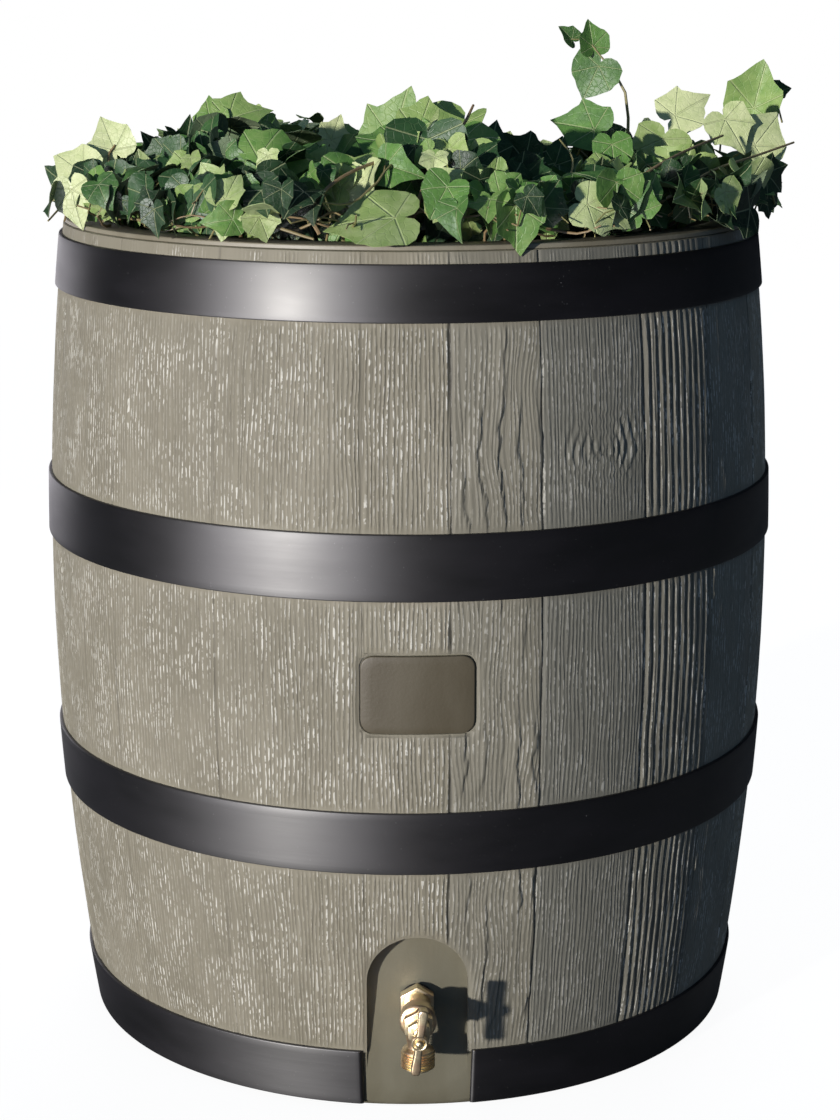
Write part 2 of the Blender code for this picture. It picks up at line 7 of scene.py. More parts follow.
import bmesh
import bpy
import numpy as np
from mathutils import Matrix, Vector


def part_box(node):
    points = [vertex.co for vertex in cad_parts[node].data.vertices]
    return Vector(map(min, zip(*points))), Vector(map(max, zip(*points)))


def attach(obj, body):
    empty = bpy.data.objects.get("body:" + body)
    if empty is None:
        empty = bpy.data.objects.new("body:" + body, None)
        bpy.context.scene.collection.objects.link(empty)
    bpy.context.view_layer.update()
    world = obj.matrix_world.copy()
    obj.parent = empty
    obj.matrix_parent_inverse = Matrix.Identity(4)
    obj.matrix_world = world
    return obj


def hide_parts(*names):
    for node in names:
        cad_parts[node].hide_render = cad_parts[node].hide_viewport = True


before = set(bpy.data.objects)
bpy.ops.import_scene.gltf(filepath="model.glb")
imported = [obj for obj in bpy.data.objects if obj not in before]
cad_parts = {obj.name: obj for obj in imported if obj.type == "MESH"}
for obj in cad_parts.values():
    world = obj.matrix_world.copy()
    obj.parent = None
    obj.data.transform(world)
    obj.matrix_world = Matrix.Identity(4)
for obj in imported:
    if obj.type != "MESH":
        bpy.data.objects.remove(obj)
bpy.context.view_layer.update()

# Barrel wall: its radius falls away from the belly by a parabola
BELLY_RADIUS = 0.3095
BELLY_HEIGHT = 0.389
BULGE = 0.200
HOOP_PROUD = 0.003
RIM_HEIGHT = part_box("barrel_shell")[1].z
RIM_HOLE = 0.270
WALL = 0.005
INSIDE, OUTSIDE = 0.20, 0.34  # distances from the axis to either side of the wall
HOOP_GAP = 0.0003
HOOP_ROUNDING = 0.0011
TUCK = 0.002  # how far the staves run on under a hoop
HOOPS = ("hoop_bottom", "hoop_lower", "hoop_upper", "hoop_top")

# Tap recess and plate
RECESS_HALF_WIDTH = 0.040
RECESS_ARCH_HEIGHT = 0.114
RECESS_FACE = 0.2795
HOOP_OPENING = 0.0430
PLATE_LOW, PLATE_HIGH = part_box("label_plate")
PLATE_CORNER = 0.010
PLATE_MIDDLE = (PLATE_HIGH.z + PLATE_LOW.z) / 2
PLATE_HALF_WIDTH = (PLATE_HIGH.x - PLATE_LOW.x) / 2 - PLATE_CORNER
PLATE_HALF_HEIGHT = (PLATE_HIGH.z - PLATE_LOW.z) / 2 - PLATE_CORNER

# Tap and overflow
TAP_HEIGHT = 0.095
OUTLET_DISTANCE = 0.3130
HANDLE_LEAN = math.radians(7)
OVERFLOW_HEIGHT = 0.530
TAP_HOLE = 0.0111  # radii of the holes in the wall
OVERFLOW_HOLE = 0.0134
OVERFLOW_SEAT = 0.024  # of the flat round the hole
FACING_FRONT = Matrix.Rotation(math.pi / 2, 4, "X")
TAP_AXIS = Matrix.Translation((0, 0, TAP_HEIGHT)) @ FACING_FRONT
OVERFLOW_AXIS = Matrix.Translation((0, 0, OVERFLOW_HEIGHT)) @ Matrix.Rotation(-math.pi / 2, 4, "X")

# Planter, soil and screen
TRAY_LOW, TRAY_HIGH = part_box("planter_tray")
SOIL_LOW, SOIL_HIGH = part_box("potting_soil")
SCREEN_LOW, SCREEN_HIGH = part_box("screen_frame")
INLET = Vector((0, (SCREEN_LOW.y + SCREEN_HIGH.y) / 2, 0))
INLET_CLEARANCE = (SCREEN_HIGH.x - SCREEN_LOW.x) / 2 + 0.004
INLET_RADIUS = 0.0650
INLET_BORE = 0.0610
INLET_TOP = 0.685
SOIL_HOLE = 0.0659  # round the inlet tube
AT_INLET = Matrix.Translation(INLET)
TRAY_WALL = 0.0035
TRAY_TOP_RADIUS = 0.2660
TRAY_FOOT_RADIUS = 0.2530
DRAINS = (-198, -144, -90, -36, 18)  # degrees round from +X
DRAIN_DISTANCE = 0.19
DRAIN_RADIUS = 0.004

# Moulded staves: the angle of each seam from the front, in degrees, the grain that follows it, and
# how strongly the seam shows
STYLES = ("plain", "fine", "comb", "wavy", "knot", "grooved")
STAVES = [
    (-180, "fine", 0.8), (-163, "wavy", 0.9), (-146, "comb", 0.6), (-128, "fine", 0.8),
    (-110, "grooved", 0.9), (-92, "fine", 0.6), (-71, "comb", 0.35), (-51, "plain", 0.3),
    (-30.2, "comb", 0.35), (-7.9, "comb", 0.25), (4.7, "wavy", 0.8), (18.1, "knot", 1.0),
    (35.3, "grooved", 0.9), (50.5, "wavy", 0.7), (66, "comb", 0.9), (84, "fine", 0.8),
    (102, "knot", 1.0), (122, "comb", 0.5), (142, "wavy", 0.9), (161, "fine", 0.7),
]
SKIN = 0.0021  # thickness of the moulded grain over the smooth wall
GRAIN_PITCH = 0.0034
GROOVE_PITCH = 0.0077
KNOT_HEIGHT = 0.538
KNOT_RADIUS = 0.044
KNOT_RING = 0.0070
SEAM_WIDTH = 0.0008
COLUMNS = 2160
ROW_STEP = 0.0042


# ---------------------------------------------------------------- pieces and small helpers

def new_piece(name, mesh, body, slot, material, *replaces):
    mesh.name = name
    piece = bpy.data.objects.new(name, mesh)
    bpy.context.scene.collection.objects.link(piece)
    mesh.materials.append(material)
    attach(piece, body)
    if replaces:
        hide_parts(*replaces)


def smooth(mesh, angle=35):
    mesh.shade_smooth()
    mesh.set_sharp_from_angle(angle=math.radians(angle))
    return mesh


def moved(mesh, matrix):
    mesh.transform(matrix)
    return mesh


def wall_radius(height):
    """Radius of the wall's plain surface, under the grain."""
    return BELLY_RADIUS - BULGE * (height - BELLY_HEIGHT) ** 2


def from_front(angle, radius, height):
    """Points at an angle from the front, round the barrel's axis."""
    return np.stack([radius * np.sin(angle), -radius * np.cos(angle), height], -1)


def profile_at(height, *points):
    """Profile points given in millimetres, as (radius, step up from the height)."""
    return [(radius / 1000, height + step / 1000) for radius, step in points]


def arc_points(radius, centre, start, end, steps):
    angles = np.radians(np.linspace(start, end, steps + 1))
    return [(centre[0] + radius * math.cos(a), centre[1] + radius * math.sin(a)) for a in angles]


def mesh_from_arrays(points, quads):
    mesh = bpy.data.meshes.new("mesh")
    mesh.vertices.add(len(points))
    mesh.vertices.foreach_set("co", np.asarray(points, np.float32).ravel())
    mesh.loops.add(quads.size)
    mesh.loops.foreach_set("vertex_index", quads.ravel().astype(np.int32))
    mesh.polygons.add(len(quads))
    starts = np.arange(0, quads.size, quads.shape[1], dtype=np.int32)
    mesh.polygons.foreach_set("loop_start", starts)
    mesh.update(calc_edges=True)
    return mesh


def ring_mesh(grid):
    """A mesh from a (rows, columns, 3) grid that closes both ways."""
    index = np.arange(grid[..., 0].size).reshape(grid.shape[:2])
    below = np.roll(index, -1, 0)
    quads = np.stack([index, np.roll(index, -1, 1), np.roll(below, -1, 1), below], -1)
    return mesh_from_arrays(grid.reshape(-1, 3), quads.reshape(-1, 4))


def set_values(mesh, values):
    for name, numbers in values.items():
        layer = mesh.attributes.new(name, "FLOAT", "POINT")
        layer.data.foreach_set("value", np.asarray(numbers, np.float32).ravel())


def made_mesh(model):
    """The mesh of a bmesh model, which is freed."""
    mesh = bpy.data.meshes.new("mesh")
    model.to_mesh(mesh)
    model.free()
    return mesh


def turned_mesh(profile, segments=96, ring=False):
    """Turn (radius, height) points round +Z. The profile runs down its outer side."""
    model = bmesh.new()
    verts = [model.verts.new((radius, 0, height)) for radius, height in profile]
    pairs = list(zip(verts, verts[1:]))
    if ring:
        pairs.append((verts[-1], verts[0]))
    edges = [model.edges.new(pair) for pair in pairs]
    bmesh.ops.spin(model, geom=[*verts, *edges], cent=(0, 0, 0), axis=(0, 0, 1),
                   angle=2 * math.pi, steps=segments, use_merge=True)
    bmesh.ops.remove_doubles(model, verts=model.verts, dist=1e-6)
    bmesh.ops.recalc_face_normals(model, faces=model.faces)
    return smooth(made_mesh(model))


def prism_mesh(radius, low, high, sides=6, bevel=0.0):
    """An upright prism, its edges rounded if a bevel is given."""
    model = bmesh.new()
    bmesh.ops.create_cone(model, cap_ends=True, segments=sides, radius1=radius, radius2=radius,
                          depth=high - low, matrix=Matrix.Translation((0, 0, (low + high) / 2)))
    if bevel:
        bmesh.ops.bevel(model, geom=list(model.edges), offset=bevel, segments=2, profile=0.5,
                        affect="EDGES")
    return smooth(made_mesh(model))


def extruded_mesh(outline, low, high, bevel=0.0):
    """A closed prism over a flat (x, y) outline, its sharp edges rounded if a bevel is given."""
    model = bmesh.new()
    face = model.faces.new([model.verts.new((x, y, low)) for x, y in outline])
    made = bmesh.ops.extrude_face_region(model, geom=[face])
    top = [part for part in made["geom"] if isinstance(part, bmesh.types.BMVert)]
    bmesh.ops.translate(model, verts=top, vec=(0, 0, high - low))
    bmesh.ops.recalc_face_normals(model, faces=model.faces)
    if bevel:
        model.normal_update()
        edges = [edge for edge in model.edges if edge.calc_face_angle(0) > math.radians(60)]
        bmesh.ops.bevel(model, geom=edges, offset=bevel, segments=4, profile=0.5, affect="EDGES")
    return made_mesh(model)


def front_prism(outline, near, far):
    """A prism over an outline of (x, z) points, from near to far in front of the axis."""
    return moved(extruded_mesh(outline, near, far), FACING_FRONT)


def combine(mesh, *steps):
    """Apply Boolean steps of (operation, mesh) to a mesh, and return the result."""
    base = bpy.data.objects.new("combine_base", mesh)
    helpers = [bpy.data.objects.new("combine_helper", other) for _, other in steps]
    for used in (base, *helpers):
        bpy.context.scene.collection.objects.link(used)
    for (operation, _), helper in zip(steps, helpers):
        boolean = base.modifiers.new(operation, "BOOLEAN")
        boolean.operation = operation
        boolean.object = helper
    bpy.context.view_layer.update()
    evaluated = base.evaluated_get(bpy.context.evaluated_depsgraph_get())
    result = bpy.data.meshes.new_from_object(evaluated)
    for used in (base, *helpers):
        bpy.data.objects.remove(used)
    return result


def plus(mesh):
    return "UNION", mesh


def minus(mesh):
    return "DIFFERENCE", mesh


def bore(*prism):
    return minus(prism_mesh(*prism))


def ease(x, low, high):
    """From 0 at low to 1 at high, smoothly."""
    t = np.clip((x - low) / (high - low), 0, 1)
    return t * t * (3 - 2 * t)


def value_noise(u, v, seed):
    """Smooth noise from 0 to 1 over a unit lattice, the same on each run."""
    table = np.random.default_rng(seed).random((256, 256))
    i, j = np.floor(u).astype(int), np.floor(v).astype(int)
    s, t = u - i, v - j
    s, t = s * s * (3 - 2 * s), t * t * (3 - 2 * t)
    a = table[i % 256, j % 256] * (1 - s) + table[(i + 1) % 256, j % 256] * s
    b = table[i % 256, (j + 1) % 256] * (1 - s) + table[(i + 1) % 256, (j + 1) % 256] * s
    return a * (1 - t) + b * t


# ---------------------------------------------------------------- node materials

class Wire:
    """A value on its way through a node tree. Sums and products of wires add math nodes."""

    def __init__(self, nodes, socket):
        self.nodes, self.socket = nodes, socket

    def __add__(self, other):
        return self.nodes.math("ADD", self, other)

    def __sub__(self, other):
        return self.nodes.math("SUBTRACT", self, other)

    def __mul__(self, other):
        return self.nodes.math("MULTIPLY", self, other)

    __radd__ = __add__
    __rmul__ = __mul__

    def __rsub__(self, other):
        return self.nodes.math("SUBTRACT", other, self)

    def __abs__(self):
        return self.nodes.math("ABSOLUTE", self)

    def ramp(self, low, high):
        """0 at low and 1 at high, smoothly."""
        return self.nodes.add("ShaderNodeMapRange", {0: self, 1: low, 2: high},
                              interpolation_type="SMOOTHSTEP")


class Nodes:
    """Builds a node material, one call a node. Nodes give their first output."""

    def __init__(self, name):
        self.material = bpy.data.materials.new(name)
        self.material.use_nodes = True
        self.tree = self.material.node_tree
        self.inputs = self.tree.nodes["Principled BSDF"].inputs

    def add(self, kind, inputs=(), output=0, **settings):
        node = self.tree.nodes.new(kind)
        for key, value in settings.items():
            setattr(node, key, value)
        for key, value in dict(inputs).items():
            self.feed(node.inputs[key], value)
        return Wire(self, node.outputs[output])

    def feed(self, socket, value):
        if isinstance(value, Wire):
            self.tree.links.new(value.socket, socket)
        else:
            socket.default_value = value

    def math(self, operation, *values):
        return self.add("ShaderNodeMath", enumerate(values), operation=operation)

    def mix(self, factor, a, b):
        return self.add("ShaderNodeMix", {0: factor, 6: a, 7: b}, 2, data_type="RGBA")

    def noise(self, vector, scale, detail=3.0, roughness=0.55):
        return self.add("ShaderNodeTexNoise", {"Vector": vector, "Scale": scale, "Detail": detail,
                                               "Roughness": roughness})

    def stretched(self, vector, x, y, z):
        return self.add("ShaderNodeVectorMath", {0: vector, 1: (x, y, z)}, operation="MULTIPLY")

    def place(self):
        return self.add("ShaderNodeTexCoord", output="Object")

    def part(self, axis):
        """One coordinate of the position."""
        return self.add("ShaderNodeSeparateXYZ", {0: self.place()}, axis)

    def attribute(self, name):
        return self.add("ShaderNodeAttribute", output="Fac", attribute_name=name)

    def combined(self, x, y, z):
        return self.add("ShaderNodeCombineXYZ", {0: x, 1: y, 2: z})

    def bump(self, height, distance, strength):
        return self.add("ShaderNodeBump", {"Height": height, "Distance": distance,
                                           "Strength": strength})

    def finish(self, colour, roughness, metallic=0.0, specular=0.5, **others):
        """The material, once its shader has its inputs. Words of a name are joined by _."""
        settings = {"Base Color": colour, "Roughness": roughness, "Metallic": metallic,
                    "Specular IOR Level": specular}
        settings |= {key.replace("_", " ").title(): value for key, value in others.items()}
        for key, value in settings.items():
            self.feed(self.inputs[key], value)
        return self.material


def rgb(red, green, blue):
    return (red, green, blue, 1.0)


def grey(level):
    return rgb(level, level, level)


def make_stave_material():
    """Taupe plastic moulded as old oak: dark grooves, dry-brushed pale paint on the ridges, and
    painted shade on the wavy, knot and grooved staves.
    """
    n = Nodes("stave_plastic_grain")
    phase, ridge, groove, detail, shade = (
        n.attribute(name) for name in ("grain_phase", "ridge", "groove", "detail", "shade"))
    height = n.part(2)

    def grain_noise(across, along, offset, scale=1.0, octaves=2.0):
        """Noise that is long along the grain."""
        return n.noise(n.combined(phase * across, height * along, offset), scale, octaves)

    streak = grain_noise(1.0, 26.0, 0.0, 1.3)
    hair = grain_noise(4.0, 70.0, 3.0)
    patch = grain_noise(0.13, 26.0, 7.0, octaves=3.0)
    blotch = grain_noise(0.06, 9.0, 11.0)
    dash = grain_noise(1.3, 150.0, 5.0)
    wave = n.math("COSINE", phase * (2 * math.pi))
    crest = wave * 0.50 + ridge * 0.35 + (hair - 0.5) * 1.9
    brushed = crest.ramp(0.40, 0.62) * (patch.ramp(0.42, 0.58) * 0.82 + 0.18)
    paint = brushed * dash.ramp(0.45, 0.54) * detail
    dark = (wave * -1.0).ramp(0.2, 1.0) * streak.ramp(0.62, 0.40) * detail
    base = n.mix(blotch.ramp(0.3, 0.7), rgb(0.212, 0.192, 0.146), rgb(0.254, 0.231, 0.180))
    base = n.mix(dark * 0.30, base, rgb(0.13, 0.115, 0.088))
    base = n.mix(groove * 0.85, base, rgb(0.045, 0.040, 0.032))
    # Painted shade: where the shade attribute is set, the base turns darker and cooler and the pale
    # paint thins
    base = n.mix(shade, base, rgb(0.118, 0.122, 0.112))
    colour = n.mix(paint * (0.92 - shade * 0.45), base, rgb(0.66, 0.64, 0.59))
    relief = (wave * 0.34 + hair * 0.9 + streak * 1.6) * (detail * 0.9 + 0.1)
    return n.finish(colour, streak * 0.25 + 0.58, specular=0.35,
                    normal=n.bump(relief, 0.0006, 0.9))


def make_smooth_plastic(name, dark, light, roughness, specular=0.45):
    """Plain moulded plastic: mottled colour, faint flow marks and a fine orange peel."""
    n = Nodes(name)
    place = n.place()
    mottle = n.noise(n.stretched(place, 1, 1, 0.35), 26.0, 4.0)
    peel = n.noise(place, 420.0, 2.0)
    colour = n.mix(mottle.ramp(0.32, 0.68), dark, light)
    return n.finish(colour, (mottle - 0.5) * 0.22 + roughness, specular=specular,
                    normal=n.bump(mottle * 3.0 + peel, 0.0002, 0.6))


def make_hoop_material():
    """Near-black painted plastic, a little violet, with faint brush lines and dust specks."""
    n = Nodes("hoop_plastic_paint")
    angle = n.math("ARCTAN2", n.part(0), n.part(1) * -1.0)
    around = n.combined(angle * BELLY_RADIUS, n.part(2), 0.0)
    lines = n.noise(n.stretched(around, 3.0, 240.0, 1), 1.0)
    cloud = n.noise(n.stretched(around, 9.0, 30.0, 1), 1.0)
    speck = n.noise(n.place(), 900.0, 0.0)
    colour = n.mix(cloud.ramp(0.3, 0.7), rgb(0.0025, 0.0025, 0.0035), rgb(0.006, 0.0055, 0.008))
    colour = n.mix(speck.ramp(0.84, 0.88) * 0.2, colour, grey(0.5))
    tangent = n.add("ShaderNodeTangent", direction_type="RADIAL", axis="Z")
    return n.finish(colour, cloud * 0.16 + 0.40, specular=0.9, anisotropic=0.62,
                    anisotropic_rotation=0.25, tangent=tangent,
                    normal=n.bump(lines * 0.6 + cloud * 2.0, 0.0003, 0.35))


def make_brass():
    """Bright yellow brass with coppery patches, casting grain and dull spots."""
    n = Nodes("brass_cast")
    place = n.place()
    patch = n.noise(place, 60.0)
    tarnish = n.noise(n.stretched(place, 1, 1, 2), 160.0)
    grain = n.noise(place, 1500.0, 2.0)
    colour = n.mix(patch.ramp(0.40, 0.68), rgb(0.90, 0.79, 0.53), rgb(0.84, 0.62, 0.42))
    colour = n.mix(tarnish.ramp(0.58, 0.75) * 0.45, colour, rgb(0.50, 0.38, 0.20))
    return n.finish(colour, tarnish * 0.26 + 0.22, metallic=1.0,
                    normal=n.bump(grain, 0.00008, 0.6))


def make_rubber():
    n = Nodes("rubber_grain")
    grain = n.noise(n.place(), 900.0)
    colour = n.mix(grain, grey(0.012), rgb(0.035, 0.034, 0.033))
    return n.finish(colour, grain * 0.3 + 0.6, specular=0.3, normal=n.bump(grain, 0.0002, 0.6))


def make_soil_material():
    n = Nodes("soil_crumbs")
    place = n.place()
    crumb = n.noise(place, 220.0, 5.0, 0.7)
    clump = n.noise(place, 45.0, 4.0, 0.6)
    fleck = n.add("ShaderNodeTexVoronoi", {"Vector": place, "Scale": 260.0})
    colour = n.mix(clump.ramp(0.3, 0.7), rgb(0.020, 0.013, 0.008), rgb(0.075, 0.050, 0.032))
    colour = n.mix(fleck.ramp(0.16, 0.06) * 0.5, colour, rgb(0.20, 0.15, 0.10))
    return n.finish(colour, 0.95, specular=0.2, normal=n.bump(crumb + clump, 0.003, 0.9))


def make_floor_material():
    """Pale paper that the camera sees almost white."""
    n = Nodes("floor_paper")
    colour = n.mix(n.noise(n.place(), 14.0, 4.0), grey(0.12), grey(0.14))
    seen = n.add("ShaderNodeLightPath", output="Is Camera Ray")
    return n.finish(colour, 0.9, specular=0.1, emission_strength=seen * 0.94,
                    emission_color=grey(1))


def make_leaf_material():
    """Ivy leaves from dark green to pale yellow-green, with cream veins and a duller underside."""
    n = Nodes("ivy_leaf")
    leaf_x, y, tint, stem, under = (
        n.attribute(name) for name in ("leaf_x", "leaf_y", "tint", "stem", "under"))
    x = abs(leaf_x)
    veins = []
    for angle, width in ((0, 0.016), (52, 0.014), (106, 0.013)):
        s, c = math.sin(math.radians(angle)), math.cos(math.radians(angle))
        side = abs(x * c - y * s).ramp(width * 1.6, width * 0.4)
        veins.append(side * (x * s + y * c).ramp(-0.02, 0.03))
    vein = n.math("MAXIMUM", n.math("MAXIMUM", veins[0], veins[1]), veins[2])
    local = n.combined(leaf_x, y, tint * 9.0)
    web = n.add("ShaderNodeTexVoronoi", {"Vector": local, "Scale": 7.0},
                feature="DISTANCE_TO_EDGE").ramp(0.07, 0.0)
    mottle = n.noise(local, 5.0)
    patch = n.noise(n.place(), 45.0, 2.0)
    tone = tint + (mottle - 0.5) * 0.28 + (patch - 0.5) * 0.16
    leaf = n.add("ShaderNodeValToRGB", {0: tone})
    stops = [(0.0, rgb(0.012, 0.034, 0.016)), (0.28, rgb(0.030, 0.092, 0.030)),
             (0.52, rgb(0.110, 0.245, 0.052)), (0.74, rgb(0.290, 0.400, 0.130)),
             (1.0, rgb(0.620, 0.670, 0.370))]
    elements = leaf.socket.node.color_ramp.elements
    for i, (at, colour) in enumerate(stops):
        element = elements[i] if i < 2 else elements.new(at)
        element.position, element.color = at, colour
    leaf = n.mix(web * 0.06, leaf, rgb(0.42, 0.50, 0.24))
    leaf = n.mix(vein * 0.38, leaf, rgb(0.55, 0.60, 0.33))
    leaf = n.mix(under * 0.42, leaf, rgb(0.30, 0.37, 0.22))
    bark = n.mix(n.noise(n.place(), 160.0), rgb(0.16, 0.085, 0.050), rgb(0.36, 0.26, 0.14))
    green = n.mix(patch, rgb(0.16, 0.20, 0.06), rgb(0.33, 0.30, 0.14))
    colour = n.mix(stem, leaf, n.mix(tint, green, bark))
    relief = mottle * 0.7 - vein * 0.9 - web * 0.2
    return n.finish(colour, (under + mottle) * 0.22 + 0.36, specular=0.45,
                    normal=n.bump(relief, 0.0009, 0.8))


STAVE = make_stave_material()
SMOOTH = make_smooth_plastic("stave_plastic_smooth", rgb(0.148, 0.136, 0.098),
                             rgb(0.176, 0.164, 0.122), 0.42)
PLATE = make_smooth_plastic("plate_plastic_moulded", rgb(0.088, 0.073, 0.048),
                            rgb(0.106, 0.090, 0.062), 0.50, 0.3)
TRAY = make_smooth_plastic("tray_plastic_moulded", rgb(0.20, 0.178, 0.13),
                           rgb(0.25, 0.226, 0.17), 0.48)
BLACK = make_smooth_plastic("black_plastic_moulded", grey(0.012), grey(0.028), 0.45)
HOOP = make_hoop_material()
BRASS = make_brass()
RUBBER = make_rubber()
SOIL = make_soil_material()
LEAF = make_leaf_material()


# ---------------------------------------------------------------- moulded staves

def stave_relief(angle, height, band_low, band_high, seed):
    """Relief of the moulded grain in metres, with the values that its material reads."""
    def noise(u, v, layer):
        return value_noise(u, v, seed + layer)

    def wander(u, v, layer, reach):
        """Noise to both sides of zero."""
        return (noise(u, v, layer) - 0.5) * reach

    seams = np.array([seam for seam, _, _ in STAVES] + [180.0])
    marks = np.array([mark for _, _, mark in STAVES] + [STAVES[0][2]])
    which = np.searchsorted(seams, np.degrees(angle), side="right") - 1
    which = np.clip(which, 0, len(STAVES) - 1)
    style = np.array([STYLES.index(grain) for _, grain, _ in STAVES])[which]
    plain, fine, comb, wavy, knot, grooved = (style == i for i in range(len(STYLES)))
    arc = angle * BELLY_RADIUS
    from_left = arc - np.radians(seams[which]) * BELLY_RADIUS
    to_right = np.radians(seams[which + 1]) * BELLY_RADIUS - arc

    # Lines along the grain
    lift = which * 37.0  # gives each stave its own noise
    bend = wander(arc / 0.060 + lift, height / 0.16, 1, 0.0040)
    bend += wander(arc / 0.012 + lift, height / 0.030, 2, 0.0014)
    sway = wander(arc / 0.030 + lift, height / 0.045, 3, 0.0060)
    phase = (arc + np.where(wavy, sway, bend)) / GRAIN_PITCH
    phase += wander(phase * 0.7 + 11, height / 0.050 + lift, 15, 0.7)
    lines = 0.5 + 0.5 * np.cos(2 * np.pi * phase)
    patchy = noise(phase * 0.37 + 5, height / 0.07 + lift, 4)
    hairs = noise(phase * 1.6 + lift, height / 0.030, 5)
    ridge = (0.55 * lines + 0.45 * hairs) * (0.45 + 0.9 * patchy)

    # Rings of the knot
    away = np.hypot(from_left - (from_left + to_right) * 0.56, height - KNOT_HEIGHT)
    away += wander(arc / 0.014, height / 0.014, 13, 0.006)
    rings = 0.5 + 0.5 * np.cos(2 * np.pi * away / KNOT_RING)
    knotty = 1 - ease(away, 0.6 * KNOT_RADIUS, KNOT_RADIUS)
    knotty = np.where(knot & (band_low < KNOT_HEIGHT < band_high), knotty, 0)
    ridge = ridge + knotty * (1.1 * rings - 0.25 - 0.6 * ridge)
    depth = np.select([plain, fine, comb, knot], [0.42, 0.50, 0.50, 0.20], 0.14)
    relief = (ridge - 0.55) * 0.0009 * depth + knotty * (rings - 0.5) * 0.0014

    # Ledges of torn wood on the wavy staves
    ledge_line = arc / 0.015 + noise(arc / 0.05 + lift, height / 0.060, 6) * 0.9
    ledge_line += noise(arc / 0.012, height / 0.009 + lift, 7) * 0.34
    ledge_line += noise(arc / 0.006, height / 0.004 + lift, 14) * 0.08
    ledge = np.floor(ledge_line)
    saw = ledge_line - ledge
    shown = np.where(wavy, ease(noise(ledge * 3.7 + lift, height / 0.05, 8), 0.38, 0.55), 0)
    relief += shown * (saw * 0.0015 - 0.0005)
    crack = shown * ease(saw, 0.93, 1.0)

    # Deep grooves
    deep_line = from_left + wander(height / 0.06, which * 1.0, 9, 0.004)
    deep_line += wander(height / 0.02, arc / 0.01, 10, 0.0010)
    deep = (0.5 + 0.5 * np.cos(2 * np.pi * deep_line / GROOVE_PITCH)) ** 2.2
    deep = np.where(grooved, deep, 0)
    relief = np.where(grooved, relief * 0.35 - deep * 0.0017 + 0.0005, relief)

    # The grain ends raggedly beside the hoops
    from_hoop = np.minimum(height - band_low, band_high - height)
    detail = ease(from_hoop + wander(arc / 0.010, height * 0, 11, 0.006), 0, 0.006)
    relief *= 0.25 + 0.75 * detail
    detail = detail * np.select([wavy, knot], [0.62, 0.72], 1.0)

    # Seams between the staves
    wobble = wander(height / 0.03 + which * 9, arc * 0, 0, 0.0014)
    beside_left, beside_right = np.abs(from_left + wobble), np.abs(to_right - wobble)
    seam = marks[which] * np.exp(-(beside_left / SEAM_WIDTH) ** 2)
    seam += marks[which + 1] * np.exp(-(beside_right / SEAM_WIDTH) ** 2)
    dip = np.exp(-(np.minimum(beside_left, beside_right) / 0.0035) ** 2)
    swell = wander(arc / 0.08 + lift, height / 0.2, 12, 0.0006)
    relief = np.clip(relief - seam * 0.0016 - dip * 0.0002 + swell, 0.0003 - SKIN, 0.0011)
    groove = np.clip(seam * 1.2 + crack * 0.8 + deep * 0.55 * detail, 0, 1)
    # Painted shade on the wavy, knot and grooved staves: how far their colour darkens and cools
    shade = np.select([wavy, knot, grooved], [0.24, 0.62, 0.40], 0.0)
    return relief, {"grain_phase": phase, "ridge": np.clip(ridge, 0, 1), "groove": groove,
                    "detail": detail, "shade": shade}


def recess_distance(x, z):
    """Distance of a point in front view from the outline of the tap recess, negative inside it."""
    return np.hypot(x, np.maximum(z - RECESS_ARCH_HEIGHT, 0)) - RECESS_HALF_WIDTH


def plate_distance(x, z):
    """Distance from the outline of the label plate, negative inside it."""
    dx = np.abs(x) - PLATE_HALF_WIDTH
    dz = np.abs(z - PLATE_MIDDLE) - PLATE_HALF_HEIGHT
    outside = np.hypot(np.maximum(dx, 0), np.maximum(dz, 0))
    return outside + np.minimum(np.maximum(dx, dz), 0) - PLATE_CORNER


def recess_outline(half_width, foot=-0.02):
    arch = arc_points(half_width, (0, RECESS_ARCH_HEIGHT), 0, 180, 48)
    return [*arch, (-half_width, foot), (half_width, foot)]


def plate_outline(margin):
    outline = []
    for start, x, z in ((0, 1, 1), (90, -1, 1), (180, -1, -1), (270, 1, -1)):
        centre = (x * PLATE_HALF_WIDTH, PLATE_MIDDLE + z * PLATE_HALF_HEIGHT)
        outline += arc_points(PLATE_CORNER + margin, centre, start, start + 90, 10)
    return outline


def stave_band(low, high, seed, distance_to=None):
    """A closed band of staves between two hoops, its outer face displaced by the grain.

    The grain rolls off towards an outline, where distance_to gives the distance from it.
    """
    columns = COLUMNS
    rows = max(round((high - low) / (ROW_STEP * 1)), 2)
    angles = -math.pi + 2 * math.pi * (np.arange(columns) + 0.5) / columns
    angle, height = np.meshgrid(angles, np.linspace(high, low, rows + 1))
    wall = wall_radius(height)
    relief, values = stave_relief(angle, height, low + TUCK, high - TUCK, seed)
    if distance_to:
        distance = np.where(np.cos(angle) > 0, distance_to(wall * np.sin(angle), height), 1.0)
        near = 1 - ease(distance, 0.0004, 0.0045)
        relief = relief * (1 - near) - near ** 2 * 0.0011
        values["detail"] = values["detail"] * ease(distance, 0.001, 0.006)
        values["groove"] = values["groove"] * ease(distance, -0.001, 0.004)
    radius = np.vstack([wall + relief, wall[[-1, 0]] - SKIN + 0.0001])
    height = np.vstack([height, height[[-1, 0]]])
    mesh = ring_mesh(from_front(np.vstack([angle, angle[:2]]), radius, height)[::-1])
    set_values(mesh, {key: np.vstack([value, value[[-1, 0]]])[::-1]
                      for key, value in values.items()})
    return mesh


def hoop_range(name):
    low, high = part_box(name)
    return low.z, high.z


